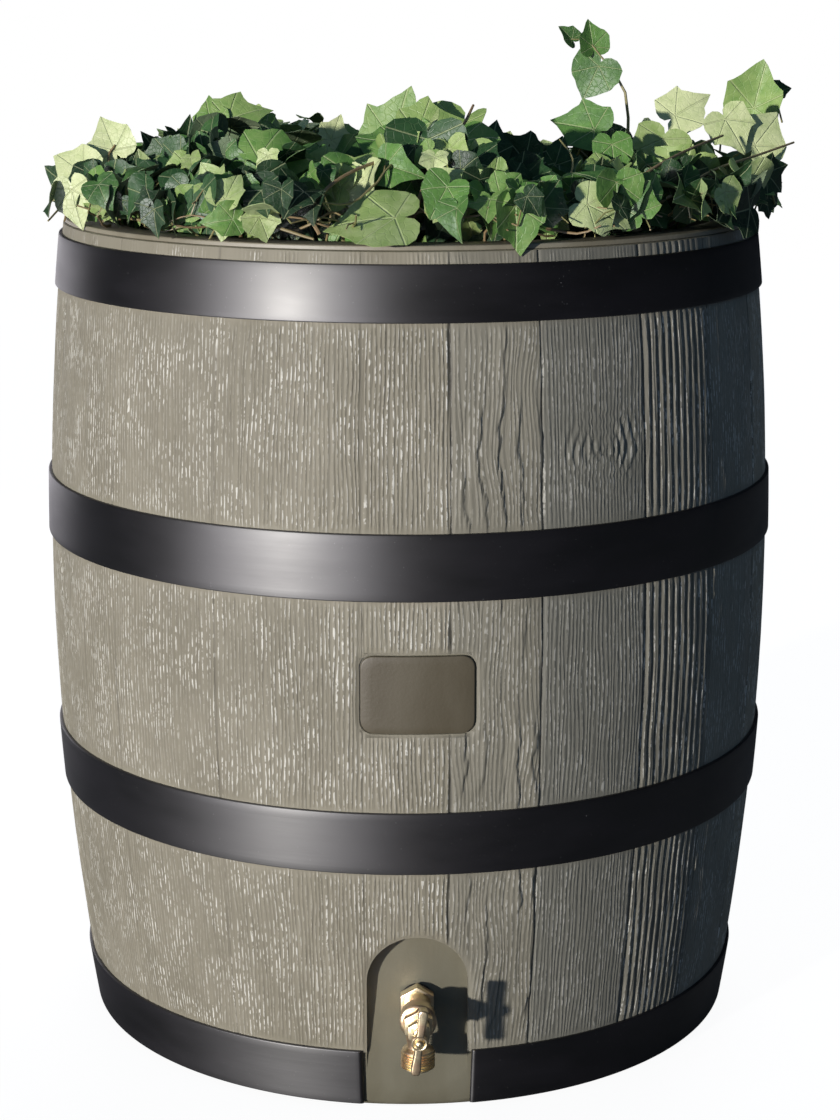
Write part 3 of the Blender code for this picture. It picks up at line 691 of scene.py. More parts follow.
def make_staves():
    """The three bands of staves between the hoops, and the strip over the top hoop."""
    edges = [edge for name in HOOPS for edge in hoop_range(name)] + [RIM_HEIGHT - 0.0006 - TUCK]
    bands = (("staves_lower", 100, recess_distance, recess_outline(RECESS_HALF_WIDTH)),
             ("staves_middle", 120, plate_distance, plate_outline(0.0006)),
             ("staves_upper", 140, None, None), ("staves_rim", 190, None, None))
    for (name, seed, distance_to, outline), low, high in zip(bands, edges[1::2], edges[2::2]):
        mesh = stave_band(low - TUCK, high + TUCK, seed, distance_to)
        if outline:
            mesh = combine(mesh, minus(front_prism(outline, INSIDE, OUTSIDE)))
        new_piece(name, smooth(mesh, 60), "barrel", "stave_plastic", STAVE)


def make_core():
    """The smooth moulded body under the staves: floor, inside, rim flange and tap recess."""
    outer = [(wall_radius(z) - SKIN, z) for z in np.linspace(RIM_HEIGHT - 0.0012, 0.006, 40)]
    top, foot = wall_radius(RIM_HEIGHT), wall_radius(0)
    profile = [(RIM_HOLE, RIM_HEIGHT - 0.0008), (RIM_HOLE + 0.0008, RIM_HEIGHT),
               (top - 0.0014, RIM_HEIGHT), (top - 0.0006, RIM_HEIGHT - 0.0006),
               (top - SKIN, RIM_HEIGHT - 0.0008), *outer[1:], (foot - 0.0048, 0.0012),
               (foot - 0.008, 0), (0, 0), (0, WALL), (foot - 0.011, WALL)]
    profile += [(wall_radius(z) - WALL, z) for z in np.linspace(0.011, RIM_HEIGHT - WALL, 24)]
    profile += [(RIM_HOLE, RIM_HEIGHT - WALL), (RIM_HOLE, RIM_HEIGHT - 0.0008)]
    back = front_prism(recess_outline(RECESS_HALF_WIDTH + WALL, 0.002), RECESS_FACE - WALL, 0.30)
    hull = turned_mesh([(0, RIM_HEIGHT), *outer, (foot - 0.0048, 0.0012), (0, 0.0012)], 240)
    recess = front_prism(recess_outline(RECESS_HALF_WIDTH), RECESS_FACE, OUTSIDE)
    mesh = combine(
        turned_mesh(profile, 240),
        plus(combine(back, ("INTERSECT", hull))), minus(recess),
        minus(moved(prism_mesh(TAP_HOLE, 0.24, 0.32, 48), TAP_AXIS)),
        minus(moved(prism_mesh(OVERFLOW_SEAT, 0.3035, 0.33, 64), OVERFLOW_AXIS)),
        minus(moved(prism_mesh(OVERFLOW_HOLE, 0.28, 0.32, 48), OVERFLOW_AXIS)))
    new_piece("shell_body", smooth(mesh), "barrel", "stave_plastic", SMOOTH, "barrel_shell")


# ---------------------------------------------------------------- hoops and plate

def hoop_grid(low, high, angles, shrink=0.0):
    """A band that hugs the wall. Where shrink nears 1 it rounds off towards the wall."""
    edge = HOOP_PROUD - HOOP_ROUNDING
    profile = [(HOOP_GAP, high),
               *arc_points(HOOP_ROUNDING, (edge, high - HOOP_ROUNDING), 90, 0, 3),
               *[(HOOP_PROUD, high + (low - high) * i / 8) for i in range(1, 8)],
               *arc_points(HOOP_ROUNDING, (edge, low + HOOP_ROUNDING), 0, -90, 3),
               (HOOP_GAP, low)]
    return np.array([
        from_front(angles, wall_radius(z) + HOOP_GAP + (offset - HOOP_GAP) * (1 - shrink),
                   np.full_like(angles, z)) for offset, z in profile])


def make_hoops():
    for name in HOOPS[1:]:
        angles = np.linspace(-math.pi, math.pi, 361)[:-1]
        mesh = ring_mesh(hoop_grid(*hoop_range(name), angles)[::-1])
        new_piece(name + "_band", smooth(mesh, 50), "barrel", "hoop_plastic", HOOP, name)


def make_bottom_hoop():
    """The bottom band, open at the tap recess, with rounded ends."""
    start = math.asin(HOOP_OPENING / wall_radius(0.03))
    end = 2 * math.pi - start
    closing = np.radians([0, 0.05, 0.12, 0.22, 0.35, 0.50, 0.65])
    body = np.linspace(start + closing[-1] + 0.01, end - closing[-1] - 0.01, 340)
    angles = np.concatenate([start + closing, body, end - closing[::-1]])
    from_end = np.clip(np.minimum(angles - start, end - angles) / closing[-1], 0, 1)
    shrink = 0.95 * (1 - np.sqrt(np.clip(1 - (1 - from_end) ** 2, 0, 1)))
    grid = hoop_grid(*hoop_range("hoop_bottom"), angles, shrink)
    a = np.arange(grid[..., 0].size).reshape(grid.shape[:2])
    b = np.roll(a, -1, 0)
    quads = np.stack([a[:, :-1], b[:, :-1], b[:, 1:], a[:, 1:]], -1).reshape(-1, 4)
    model = bmesh.new()
    model.from_mesh(mesh_from_arrays(grid.reshape(-1, 3), quads))
    bmesh.ops.holes_fill(model, edges=[e for e in model.edges if e.is_boundary])
    bmesh.ops.recalc_face_normals(model, faces=model.faces)
    new_piece("hoop_bottom_band", smooth(made_mesh(model), 50), "barrel",
              "hoop_plastic", HOOP, "hoop_bottom")


def make_plate():
    """The blank plate: curved with the wall, with a soft edge all round."""
    corners, outline = plate_outline(-0.0004), []
    for (x, z), (next_x, next_z) in zip(corners, corners[1:] + corners[:1]):
        steps = max(int(math.hypot(next_x - x, next_z - z) / 0.004), 1)
        outline += [(x + (next_x - x) * i / steps, z + (next_z - z) * i / steps)
                    for i in range(steps)]
    model = bmesh.new()
    rings = []
    for share, lift in ((1.0, -0.0012), (1.0, 0.0004), (0.992, 0.0008), (0.975, 0.0010),
                        (0.8, 0.0010), (0.6, 0.0010), (0.4, 0.0010), (0.2, 0.0010)):
        ring = []
        for x, z in outline:
            x, z = x * share, PLATE_MIDDLE + (z - PLATE_MIDDLE) * share
            y = -math.sqrt((wall_radius(z) + lift) ** 2 - x ** 2)
            ring.append(model.verts.new((x, y, z)))
        rings.append(ring)
    for lower, upper in zip(rings, rings[1:]):
        for a, b, c, d in zip(lower, lower[1:] + lower[:1], upper[1:] + upper[:1], upper):
            model.faces.new((a, b, c, d))
    model.faces.new(rings[-1])
    model.faces.new(rings[0])
    bmesh.ops.recalc_face_normals(model, faces=model.faces)
    new_piece("blank_plate", smooth(made_mesh(model), 40), "barrel",
              "plate_plastic", PLATE, "label_plate")


# ---------------------------------------------------------------- hose tap

def tap_piece(name, mesh, body, replaces):
    """A brass piece made round the tap's axis, which is +Z until it is moved into place."""
    new_piece(name, smooth(moved(mesh, TAP_AXIS), 32), body, "brass", BRASS, replaces)


def tap_range(name):
    """Where a CAD piece of the tap begins and ends, as distances in front of the barrel's axis."""
    low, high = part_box(name)
    return -high.y, -low.y


def outlet_part(mesh):
    """A part of the outlet, moved from the barrel's axis into the frame of the tap's axis."""
    return moved(moved(mesh, Matrix.Translation((0, -OUTLET_DISTANCE, 0))), TAP_AXIS.inverted())


def make_tap_body():
    """Cast body: hexagon collar, waist, round chest with a bead, and the threaded outlet below."""
    inner_end, front = tap_range("spigot_body")
    back = RECESS_FACE + 0.0036
    profile = profile_at(front, (0, 0), (11.8, 0), (13.4, -0.6), (14.4, -1.8), (14.3, -3.6),
                         (13.4, -4.2), (13.7, -6.0), (13.7, -14.5), (12.6, -16.8), (11.0, -20.5),
                         (10.6, -23.5))
    profile += profile_at(back, (10.8, 10.4), (11.2, 3.0), (10.5, 1.5))
    profile += profile_at(inner_end, (10.5, 0.8), (9.8, 0), (0, 0))
    turns, pitch = 6, 0.0022  # plain ridges for a thread
    outlet_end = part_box("spigot_body")[0].z
    top = outlet_end + turns * pitch + 0.0022
    outlet = profile_at(TAP_HEIGHT, (0, -7.5), (10.2, -7.5), (10.1, -13.0), (9.0, -18.5))
    outlet += profile_at(top, (8.4, 5.2), (8.6, 2.6), (10.4, 1.6), (12.3, 0.7), (12.3, -0.8))
    for i in range(turns):
        outlet += profile_at(top - 0.0012 - pitch * (i + 0.5), (11.7, 0.924), (13.4, 0.286),
                             (13.4, -0.286), (11.7, -0.924))
    outlet += profile_at(outlet_end, (11.7, 0.6), (11.1, 0), (0, 0))
    outlet_bore = prism_mesh(0.0083, outlet_end - 0.01, outlet_end + 0.0122, 48)
    neck_bore = prism_mesh(0.0063, outlet_end + 0.010, TAP_HEIGHT - 0.008, 40)
    mesh = combine(
        turned_mesh(profile, 72),
        plus(prism_mesh(0.0151, back, back + 0.0100, 6, 0.0007)),
        plus(outlet_part(turned_mesh(outlet, 64))),
        bore(0.0106, front - 0.0175, front + 0.01, 48),
        bore(0.0059, front - 0.031, front - 0.0165, 40),
        bore(0.0076, inner_end - 0.01, front - 0.0235, 40),
        minus(outlet_part(outlet_bore)), minus(outlet_part(neck_bore)))
    tap_piece("tap_body", mesh, "barrel", "spigot_body")


def make_bonnet_and_nut():
    back, front = tap_range("bonnet")
    hex_back, hex_front = back + 0.0035, front - 0.0060
    profile = profile_at(front, (0, 0), (6.4, 0), (6.9, -0.5))
    profile += profile_at(hex_front, (6.9, -1.5), (9.7, -2.5))
    profile += profile_at(back, (9.7, 0.5), (9.2, 0), (0, 0))
    skirt = profile_at(hex_back, (0, 2.2), (12.2, 2.2), (12.5, 1.7), (12.5, 0), (0, 0))
    mesh = combine(turned_mesh(profile, 48),
                   plus(prism_mesh(0.0126, hex_back, hex_front, 6, 0.0008)),
                   plus(turned_mesh(skirt, 48)),
                   bore(0.0044, back - 0.01, front + 0.02, 32))
    tap_piece("bonnet_casting", mesh, "barrel", "bonnet")
    back, front = tap_range("packing_nut")
    mesh = combine(prism_mesh(0.0097, back, front, 6, 0.0007),
                   bore(0.0073, back - 0.01, front - 0.0027, 32),
                   bore(0.0044, back - 0.01, front + 0.02, 32))
    tap_piece("gland_nut", mesh, "barrel", "packing_nut")


def make_handle():
    """Tee handle: two flat-sided arms that flare to rounded ends, a dished hub and its screw."""
    low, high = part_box("tee_handle")
    half = (high.z - low.z) / 2 / math.cos(HANDLE_LEAN) - 0.0002
    middle = -(low.y + high.y) / 2
    back, front = middle - 0.0050, middle + 0.0050
    side = [(0.0031, 0.0), (0.0029, 0.0090), (0.0037, half - 0.0060), (0.0037, half - 0.0032),
            (0.0031, half - 0.0013), (0.0018, half - 0.0003)]
    outline = side + [(-x, z) for x, z in reversed(side)]
    outline += [(-x, -z) for x, z in side[1:]] + [(x, -z) for x, z in reversed(side[1:])]
    arms = extruded_mesh(outline, middle - 0.0047, middle + 0.0047, 0.0014)
    dish = front - 0.0012
    hub = profile_at(dish, (0, 0), (4.0, 0), (4.4, 0.3))
    hub += profile_at(front, (4.6, -0.2), (5.0, 0), (5.6, 0), (6.0, -0.4), (6.1, -1.0))
    hub += profile_at(back, (6.1, 2.2), (5.6, 0.8), (5.0, 0), (0, 0))
    mesh = combine(turned_mesh(hub, 48),
                   plus(moved(arms, Matrix.Rotation(-HANDLE_LEAN, 4, "Z"))),
                   bore(0.0033, back - 0.01, front + 0.01, 32))
    tap_piece("tee_casting", mesh, "handle", "tee_handle")
    tip, top = tap_range("handle_screw")
    screw = profile_at(top, (0, 0), (1.0, -0.1), (2.0, -0.5), (2.9, -1.3))
    screw += profile_at(dish + 0.0003, (3.5, 0.8), (3.6, 0), (1.2, 0))
    screw += profile_at(tip, (1.2, 0.4), (0.9, 0), (0, 0))
    corners = [(-0.00035, -0.004), (0.00035, -0.004), (0.00035, 0.004), (-0.00035, 0.004)]
    slot = extruded_mesh(corners, top - 0.0010, top + 0.01)
    mesh = combine(turned_mesh(screw, 40),
                   minus(moved(slot, Matrix.Rotation(0.6, 4, "Z"))))
    tap_piece("round_screw", mesh, "handle", "handle_screw")


def dress_cad():
    """Finishes for the CAD pieces that keep their shape."""
    looks = {
        RUBBER: ("spigot_washer", "inner_washer", "stem_packing", "seat_washer",
                 "overflow_gasket"),
        BRASS: ("spigot_locknut", "washer_screw", "valve_stem"),
    }
    for material, names in looks.items():
        for name in names:
            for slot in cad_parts[name].material_slots:
                slot.material = material


# ---------------------------------------------------------------- planter, overflow and screen

def make_tray():
    """The planter tray: a bowl whose lip rests on the rim, with drain holes and the inlet tube."""
    low, high, lip = TRAY_LOW.z, TRAY_HIGH.z, TRAY_HIGH.x
    floor, seat = low + TRAY_WALL, RIM_HEIGHT + 0.0003
    inside, foot = TRAY_TOP_RADIUS - TRAY_WALL, TRAY_FOOT_RADIUS - TRAY_WALL
    profile = [(0, floor), *arc_points(0.006, (foot - 0.006, floor + 0.006), -90, 0, 6),
               *arc_points(0.0012, (inside + 0.0012, high - 0.0012), 180, 90, 4),
               *arc_points(0.0012, (lip - 0.0012, high - 0.0012), 90, 0, 4),
               (lip, seat + 0.0004), (lip - 0.0004, seat), (TRAY_TOP_RADIUS, seat),
               *arc_points(0.006, (TRAY_FOOT_RADIUS - 0.006, low + 0.006), 0, -90, 6), (0, low)]
    tube = prism_mesh(INLET_RADIUS, low + 0.001, INLET_TOP, 96, 0.0008)
    tube_bore = prism_mesh(INLET_BORE, low - 0.01, INLET_TOP + 0.01, 96)
    drains = []
    for degrees in DRAINS:
        place = Matrix.Rotation(math.radians(degrees), 4, "Z")
        place = place @ Matrix.Translation((DRAIN_DISTANCE, 0, 0))
        drain = prism_mesh(DRAIN_RADIUS, low - 0.01, floor + 0.01, 24)
        drains.append(minus(moved(drain, place)))
    mesh = combine(turned_mesh(profile, 192), plus(moved(tube, AT_INLET)),
                   minus(moved(tube_bore, AT_INLET)), *drains)
    new_piece("tray_bowl", smooth(mesh), "planter", "tray_plastic", TRAY, "planter_tray")


def make_screen_frame():
    """The ring that holds the screen, its collar resting on the inlet tube."""
    low, high = SCREEN_LOW.z, SCREEN_HIGH.z
    collar, seat, skirt = (SCREEN_HIGH.x - SCREEN_LOW.x) / 2, high - 0.004, INLET_BORE - 0.0005
    profile = [*arc_points(0.0010, (0.0585, high - 0.0010), 180, 90, 4),
               *arc_points(0.0016, (collar - 0.0016, high - 0.0016), 90, 0, 5),
               (collar, seat + 0.0004), (collar - 0.0004, seat), (skirt, seat),
               (skirt, low + 0.0005), (skirt - 0.0005, low),
               *profile_at(low, (54.8, 0), (54.5, 0.3), (54.5, 2), (57.5, 2))]
    mesh = moved(turned_mesh(profile, 128, ring=True), AT_INLET)
    new_piece("screen_ring", mesh, "screen", "black_plastic", BLACK, "screen_frame")


def make_overflow():
    """The barbed overflow fitting at the back, and the nut that holds it inside."""
    inner_end, end = (corner.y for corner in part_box("overflow_fitting"))
    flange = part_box("overflow_gasket")[1].y + 0.0003
    barb = (end - flange - 0.012) / 3
    profile = [(0, end)]
    for top in (end, end - barb, end - 2 * barb):
        profile += profile_at(top, (8.1, 0), (8.5, -0.4))
        profile += profile_at(top - barb, (10.2, 1.4), (10.2, 0.8), (9.0, 0.2))
    profile += profile_at(flange, (9.0, 6.6), (9.6, 5.8), (9.6, 1.0), (12.8, 1.0))
    profile += profile_at(inner_end, (12.8, 0.6), (12.2, 0), (0, 0))
    barbs = combine(turned_mesh(profile, 72),
                    plus(prism_mesh(0.0208, flange, flange + 0.006, 6, 0.0007)),
                    bore(0.0050, 0.27, 0.37, 48))
    low, high = (corner.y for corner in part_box("overflow_locknut"))
    nut = combine(prism_mesh(0.0196, low, high, 6, 0.0007),
                  bore(0.0131, low - 0.01, high + 0.01, 48))
    for name, mesh, replaces in (("overflow_barbs", barbs, "overflow_fitting"),
                                 ("overflow_nut", nut, "overflow_locknut")):
        mesh = moved(smooth(mesh), OVERFLOW_AXIS)
        new_piece(name, mesh, "barrel", "black_plastic", BLACK, replaces)


def make_soil():
    """Crumbly soil: a lumpy top, plain sides, and the hole that the inlet tube stands in."""
    columns, rings = ((260, 84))
    radius = (SOIL_HIGH.x - SOIL_LOW.x) / 2 - 0.0004
    angle, share = np.meshgrid(np.linspace(0, 2 * math.pi, columns, endpoint=False),
                               np.linspace(1, 0.004, rings))
    x, y = radius * share * np.cos(angle), radius * share * np.sin(angle)
    top = SOIL_HIGH.z - 0.0055 + 0.004 * value_noise(x / 0.030 + 40, y / 0.030 + 40, 71)
    top += 0.0018 * value_noise(x / 0.008 + 40, y / 0.008 + 40, 72)
    top -= 0.003 * ease(share, 0.94, 1.0)
    rows = [(x[-1], y[-1], SOIL_LOW.z), (x[0] * 0.955, y[0] * 0.955, SOIL_LOW.z),
            (x[0], y[0], SOIL_LOW.z + 0.08), *zip(x, y, top)]
    grid = np.array([np.stack(np.broadcast_arrays(*row), -1) for row in rows])
    hole = prism_mesh(SOIL_HOLE, SOIL_LOW.z - 0.01, SOIL_HIGH.z + 0.02, 64)
    mesh = combine(ring_mesh(grid), minus(moved(hole, AT_INLET)))
    new_piece("soil_bed", smooth(mesh, 50), "planter", "soil", SOIL, "potting_soil")


def make_screen_mesh():
    """Woven debris mesh: two layers of wires that pass over and under each other."""
    low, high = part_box("screen_mesh")
    pitch, radius, level = 0.0032, (high.x - low.x) / 2, (low.z + high.z) / 2
    wires = Batch()
    reach = int(radius / pitch)
    for i in range(-reach, reach + 1):
        across = i * pitch
        half = math.sqrt(max(radius ** 2 - across ** 2, 0)) - 0.0002
        if half < pitch:
            continue
        along = np.linspace(-half, half, max(int(2 * half / (pitch / 2)), 2) + 1)
        over = 0.00032 * np.cos(math.pi * (along / pitch + i))
        across = np.full_like(along, across)
        for line in ((along, across, level + over), (across, along, level - over)):
            wires.tube(np.stack(line, -1) + np.array(INLET), 0.00034, 4)
    new_piece("woven_mesh", smooth(wires.mesh()), "screen", "black_plastic", BLACK,
              "screen_mesh")


# ---------------------------------------------------------------- ivy

# A leaf's outline: its distance from the stalk's end, by the angle in degrees from the midrib
LEAF_ANGLES = np.array([0, 8, 18, 30, 42, 52, 64, 76, 90, 106, 120, 135, 152, 168])
LOBED = np.array([100, 82, 68, 60, 66, 80, 64, 53, 52, 60, 51, 43, 36, 26]) / 100
HEART = np.array([100, 90, 81, 75, 71, 69, 67, 65, 63, 61, 57, 50, 41, 28]) / 100
NOTCH = 0.13  # the same where the stalk joins
RINGS = (0.38, 0.74, 1.0)  # shares of the outline
LEAF_THICKNESS = 0.0004
LEAF_LENGTH = 1.32  # from the base lobes to the tip, where the midrib is 1
LEAF_SIZES = (0.024, 0.030, 0.036, 0.043, 0.051, 0.060)
VINE_STEP = 0.0095
VINE_REACH = 0.305
LEAF_REACH = 0.314
PLANT_REACH = {"ivy_right": 0.334, "ivy_left": 0.322}
CANOPY_EDGE = 0.722  # height of the leaves at the barrel's edge
IVY_TOP = 0.812
OVERHANG = 0.245  # further aside than this, leaves may hang over the rim
OVER_LIP = 0.2975  # within this distance from the axis, leaves clear the tray's lip
OVER_SOIL = 0.252  # and within this one they may reach down to the soil
UP = np.array((0, 0, 1))


def unit(vector):
    return vector / np.linalg.norm(vector)


def leaf_template():
    """Angles and triangles of one leaf, with its upper and under sides joined."""
    angles = np.concatenate([LEAF_ANGLES, [180], -LEAF_ANGLES[:0:-1]])
    count = len(angles)
    tris = []
    for i in range(count):
        j = (i + 1) % count
        tris.append((0, 1 + j, 1 + i))
        for ring in range(len(RINGS) - 1):
            a, b = 1 + ring * count + i, 1 + ring * count + j
            tris += [(a, b, b + count), (a, b + count, a + count)]
    side = 1 + len(RINGS) * count
    upper = np.array(tris)
    edge = [(side - count + i, side - count + (i + 1) % count) for i in range(count)]
    joins = [(a, b, b + side) for a, b in edge] + [(a, b + side, a + side) for a, b in edge]
    return np.radians(angles), np.vstack([upper, upper[:, ::-1] + side, joins])


LEAF_TURN, LEAF_TRIS = leaf_template()


def leaf_shape(rng, lobes, fold, droop, wave):
    """Points of one leaf of unit size, tip at +Y and upper side up."""
    outline = HEART + (LOBED - HEART) * lobes
    outline = np.concatenate([outline, [NOTCH], outline[:0:-1]])
    outline = outline * (1 + 0.022 * rng.standard_normal(len(outline)) * (outline > 0.2))
    turn = LEAF_TURN + 0.06 * rng.standard_normal()
    x = np.concatenate([[0], *(ring * outline * np.sin(turn) for ring in RINGS)])
    y = np.concatenate([[0], *(ring * outline * np.cos(turn) for ring in RINGS)])
    x = x * (1.02 + 0.10 * rng.standard_normal())
    away, angle = np.hypot(x, y), np.arctan2(x, y)
    rise = fold * np.abs(x) - droop * np.maximum(y, 0) ** 2 - 0.25 * droop * x ** 2
    rise += wave * away ** 2 * np.sin(3 * angle + rng.uniform(0, 6.3))
    rise += 0.5 * wave * away ** 2 * np.sin(5 * angle + rng.uniform(0, 6.3))
    return np.stack([x, y, rise], -1)


def place_leaf(rng, base, tip, face, size, tint, lobes, fold, droop, wave):
    """Points and values of a leaf that joins its stalk at base, points along tip and faces face."""
    flat = leaf_shape(rng, lobes, fold, droop, wave)
    up = unit(np.asarray(face, float))
    ahead = unit(tip - up * np.dot(tip, up))
    upper = flat @ np.array([np.cross(ahead, up), ahead, up]) * (size / LEAF_LENGTH) + base
    values = np.zeros((len(flat), 5))
    values[:, :2], values[:, 2] = flat[:, :2], tint
    below = values + (0, 0, 0, 0, 1)
    return np.vstack([upper, upper - up * LEAF_THICKNESS]), np.vstack([values, below])


class Batch:
    """Gathers the triangles of many leaves and stems into one mesh."""

    def __init__(self):
        self.points, self.tris, self.values, self.count = [], [], [], 0

    def add(self, points, tris, values):
        self.points.append(points)
        self.tris.append(tris + self.count)
        self.values.append(values)
        self.count += len(points)

    def leaf(self, points, values):
        self.add(points, LEAF_TRIS, values)

    def tube(self, line, radius, sides=5, tint=0.0):
        """A closed stem along a line. Its radius may change from point to point."""
        line = np.asarray(line, float)
        radius = np.broadcast_to(radius, len(line))
        along = np.gradient(line, axis=0)
        along /= np.linalg.norm(along, axis=1)[:, None]
        side = np.cross(along, (0.31, 0.17, 0.93))
        side /= np.linalg.norm(side, axis=1)[:, None]
        up = np.cross(side, along)
        turn = (2 * math.pi * np.arange(sides) / sides)[None, :, None]
        ring = side[:, None] * np.cos(turn) + up[:, None] * np.sin(turn)
        points = (line[:, None] + ring * radius[:, None, None]).reshape(-1, 3)
        tris = []
        for row in range(0, (len(line) - 1) * sides, sides):
            for i in range(sides):
                a, b = row + i, row + (i + 1) % sides
                tris += [(a, b + sides, b), (a, a + sides, b + sides)]
        last = (len(line) - 1) * sides
        for i in range(1, sides - 1):
            tris += [(0, i, i + 1), (last, last + i + 1, last + i)]
        self.add(points, np.array(tris), np.tile((0.0, 0.0, tint, 1.0, 0.0), (len(points), 1)))

    def mesh(self):
        mesh = mesh_from_arrays(np.vstack(self.points), np.vstack(self.tris))
        names = ("leaf_x", "leaf_y", "tint", "stem", "under")
        set_values(mesh, dict(zip(names, np.vstack(self.values).T)))
        return mesh


def canopy_top(x, y):
    """Height that the leaves reach at a place over the planter."""
    sides = [-0.33, -0.294, -0.26, -0.215, -0.16, -0.11, -0.06, 0.0, 0.03, 0.07, 0.12, 0.16, 0.22,
             0.28, 0.31, 0.34]
    tops = [0.715, 0.730, 0.762, 0.758, 0.775, 0.768, 0.758, 0.782, 0.784, 0.760, 0.748, 0.762,
            0.772, 0.778, 0.770, 0.745]
    edge = ease(np.hypot(x, y), 0.17, 0.305)
    return CANOPY_EDGE + (np.interp(x, sides, tops) - CANOPY_EDGE) * (1 - 0.72 * edge)


def plant_of(x, y):
    """The ivy plant whose sector a place is in, by its angle in degrees round from +X."""
    away, angle = math.hypot(x, y), math.degrees(math.atan2(y, x)) % 360
    if away < 0.070:
        return "ivy_centre"
    if 51 <= angle < 129 and away > 0.225:
        return "ivy_back"
    if angle < 90 or angle >= 331:
        return "ivy_right"
    if angle < 209:
        return "ivy_left"
    return "ivy_front_left" if angle < 270 else "ivy_front_right"


def fits(points, reach):
    """Whether a leaf or stem stays in the planter's space, off the rim, hoop and inlet."""
    x, y, z = points.T
    away = np.hypot(x, y)
    lip = TRAY_HIGH.z
    low = np.where(np.abs(x) > OVERHANG, lip - 0.012, lip + 0.003)
    low = np.where(away < OVER_LIP, lip + 0.001, low)
    low = np.where(away < OVER_SOIL, SOIL_HIGH.z - 0.004, low)
    off_inlet = np.hypot(x, y - INLET.y) > INLET_CLEARANCE
    return bool((z > low).all() and away.max() < reach and off_inlet.all() and z.max() < IVY_TOP)


def grow_vine(rng, start, heading, length, layer, plants):
    """One creeping vine with a leaf on a stalk at each of its nodes."""
    at, line = np.array(start), []
    for i in range(int(length / VINE_STEP)):
        heading += rng.normal(0, 0.16)
        at = at + VINE_STEP * np.array((math.cos(heading), math.sin(heading), 0))
        away = math.hypot(at[0], at[1])
        roof = canopy_top(at[0], at[1]) - 0.012
        floor = SOIL_HIGH.z if away < 0.245 else TRAY_HIGH.z + 0.004
        rise = min(i * VINE_STEP / 0.07, 1.0)
        at[2] = floor + (roof - floor) * layer * rise + 0.004 * math.sin(i * 0.8 + start[0] * 90)
        if away > VINE_REACH or math.hypot(at[0], at[1] - INLET.y) < INLET_CLEARANCE + 0.004:
            break
        line.append(at.copy())
    if len(line) < 5:
        return
    middle = line[len(line) // 2]
    width = rng.uniform(0.0008, 0.0015)
    if fits(np.array(line), 0.31):
        plants[plant_of(middle[0], middle[1])].tube(
            line, np.linspace(width, width * 0.5, len(line)), 6, rng.uniform(0.3, 1.0))
    for i in range(2, len(line), 2):
        grow_leaf(rng, line[i], line[i] - line[i - 1], plants)


def grow_leaf(rng, node, along, plants):
    """Tries a few stalks and turns until the leaf fits."""
    out = np.array((node[0], node[1], 0.0)) / max(math.hypot(node[0], node[1]), 1e-6)
    for _ in range(5):
        side = np.cross(unit(along), UP) * rng.choice((-1, 1))
        stalk = unit(0.8 * side + 0.75 * UP + 0.5 * out + 0.45 * rng.standard_normal(3))
        reach = rng.uniform(0.012, 0.040)
        base = node + stalk * reach
        size = rng.choice(LEAF_SIZES, p=(0.08, 0.14, 0.22, 0.24, 0.20, 0.12))
        edge = ease(math.hypot(base[0], base[1]), 0.10, 0.28)
        face = unit(UP * (1.0 - 0.35 * edge) + out * (0.35 + 0.75 * edge) + (-0.18, -0.25, 0)
                    + 0.62 * rng.standard_normal(3))
        tip = unit(0.6 * out + 0.5 * stalk + 0.5 * rng.standard_normal(3) - 0.5 * UP)
        tint = rng.choice((0.10, 0.38, 0.74), p=(0.42, 0.27, 0.31)) + 0.09 * rng.standard_normal()
        # Painted light and shade: the higher a leaf sits, the paler its tint, and the lower, the
        # darker
        tint = np.clip(tint + 0.16 * (base[2] - 0.70) / 0.08 - 0.06, 0.02, 1)
        points, values = place_leaf(rng, base, tip, face, size, tint, rng.beta(1.2, 1.9),
                                    rng.uniform(0.05, 0.65), rng.uniform(0.05, 0.75),
                                    rng.uniform(0.06, 0.20))
        plant = plant_of(base[0], base[1])
        x, y, _ = points.mean(0)
        if y < -0.225 and -0.075 < x < 0.012:
            continue  # would hide the large pale leaf at the front
        low_enough = points[:, 2].max() < canopy_top(x, y) + 0.008
        if low_enough and fits(points, PLANT_REACH.get(plant, LEAF_REACH)):
            plants[plant].leaf(points, values)
            bend = node + (base - node) * 0.5 + 0.15 * reach * UP
            plants[plant].tube([node, bend, base - stalk * 0.0005], (0.0007, 0.0006, 0.0005), 4,
                               rng.uniform(0, 0.6))
            return


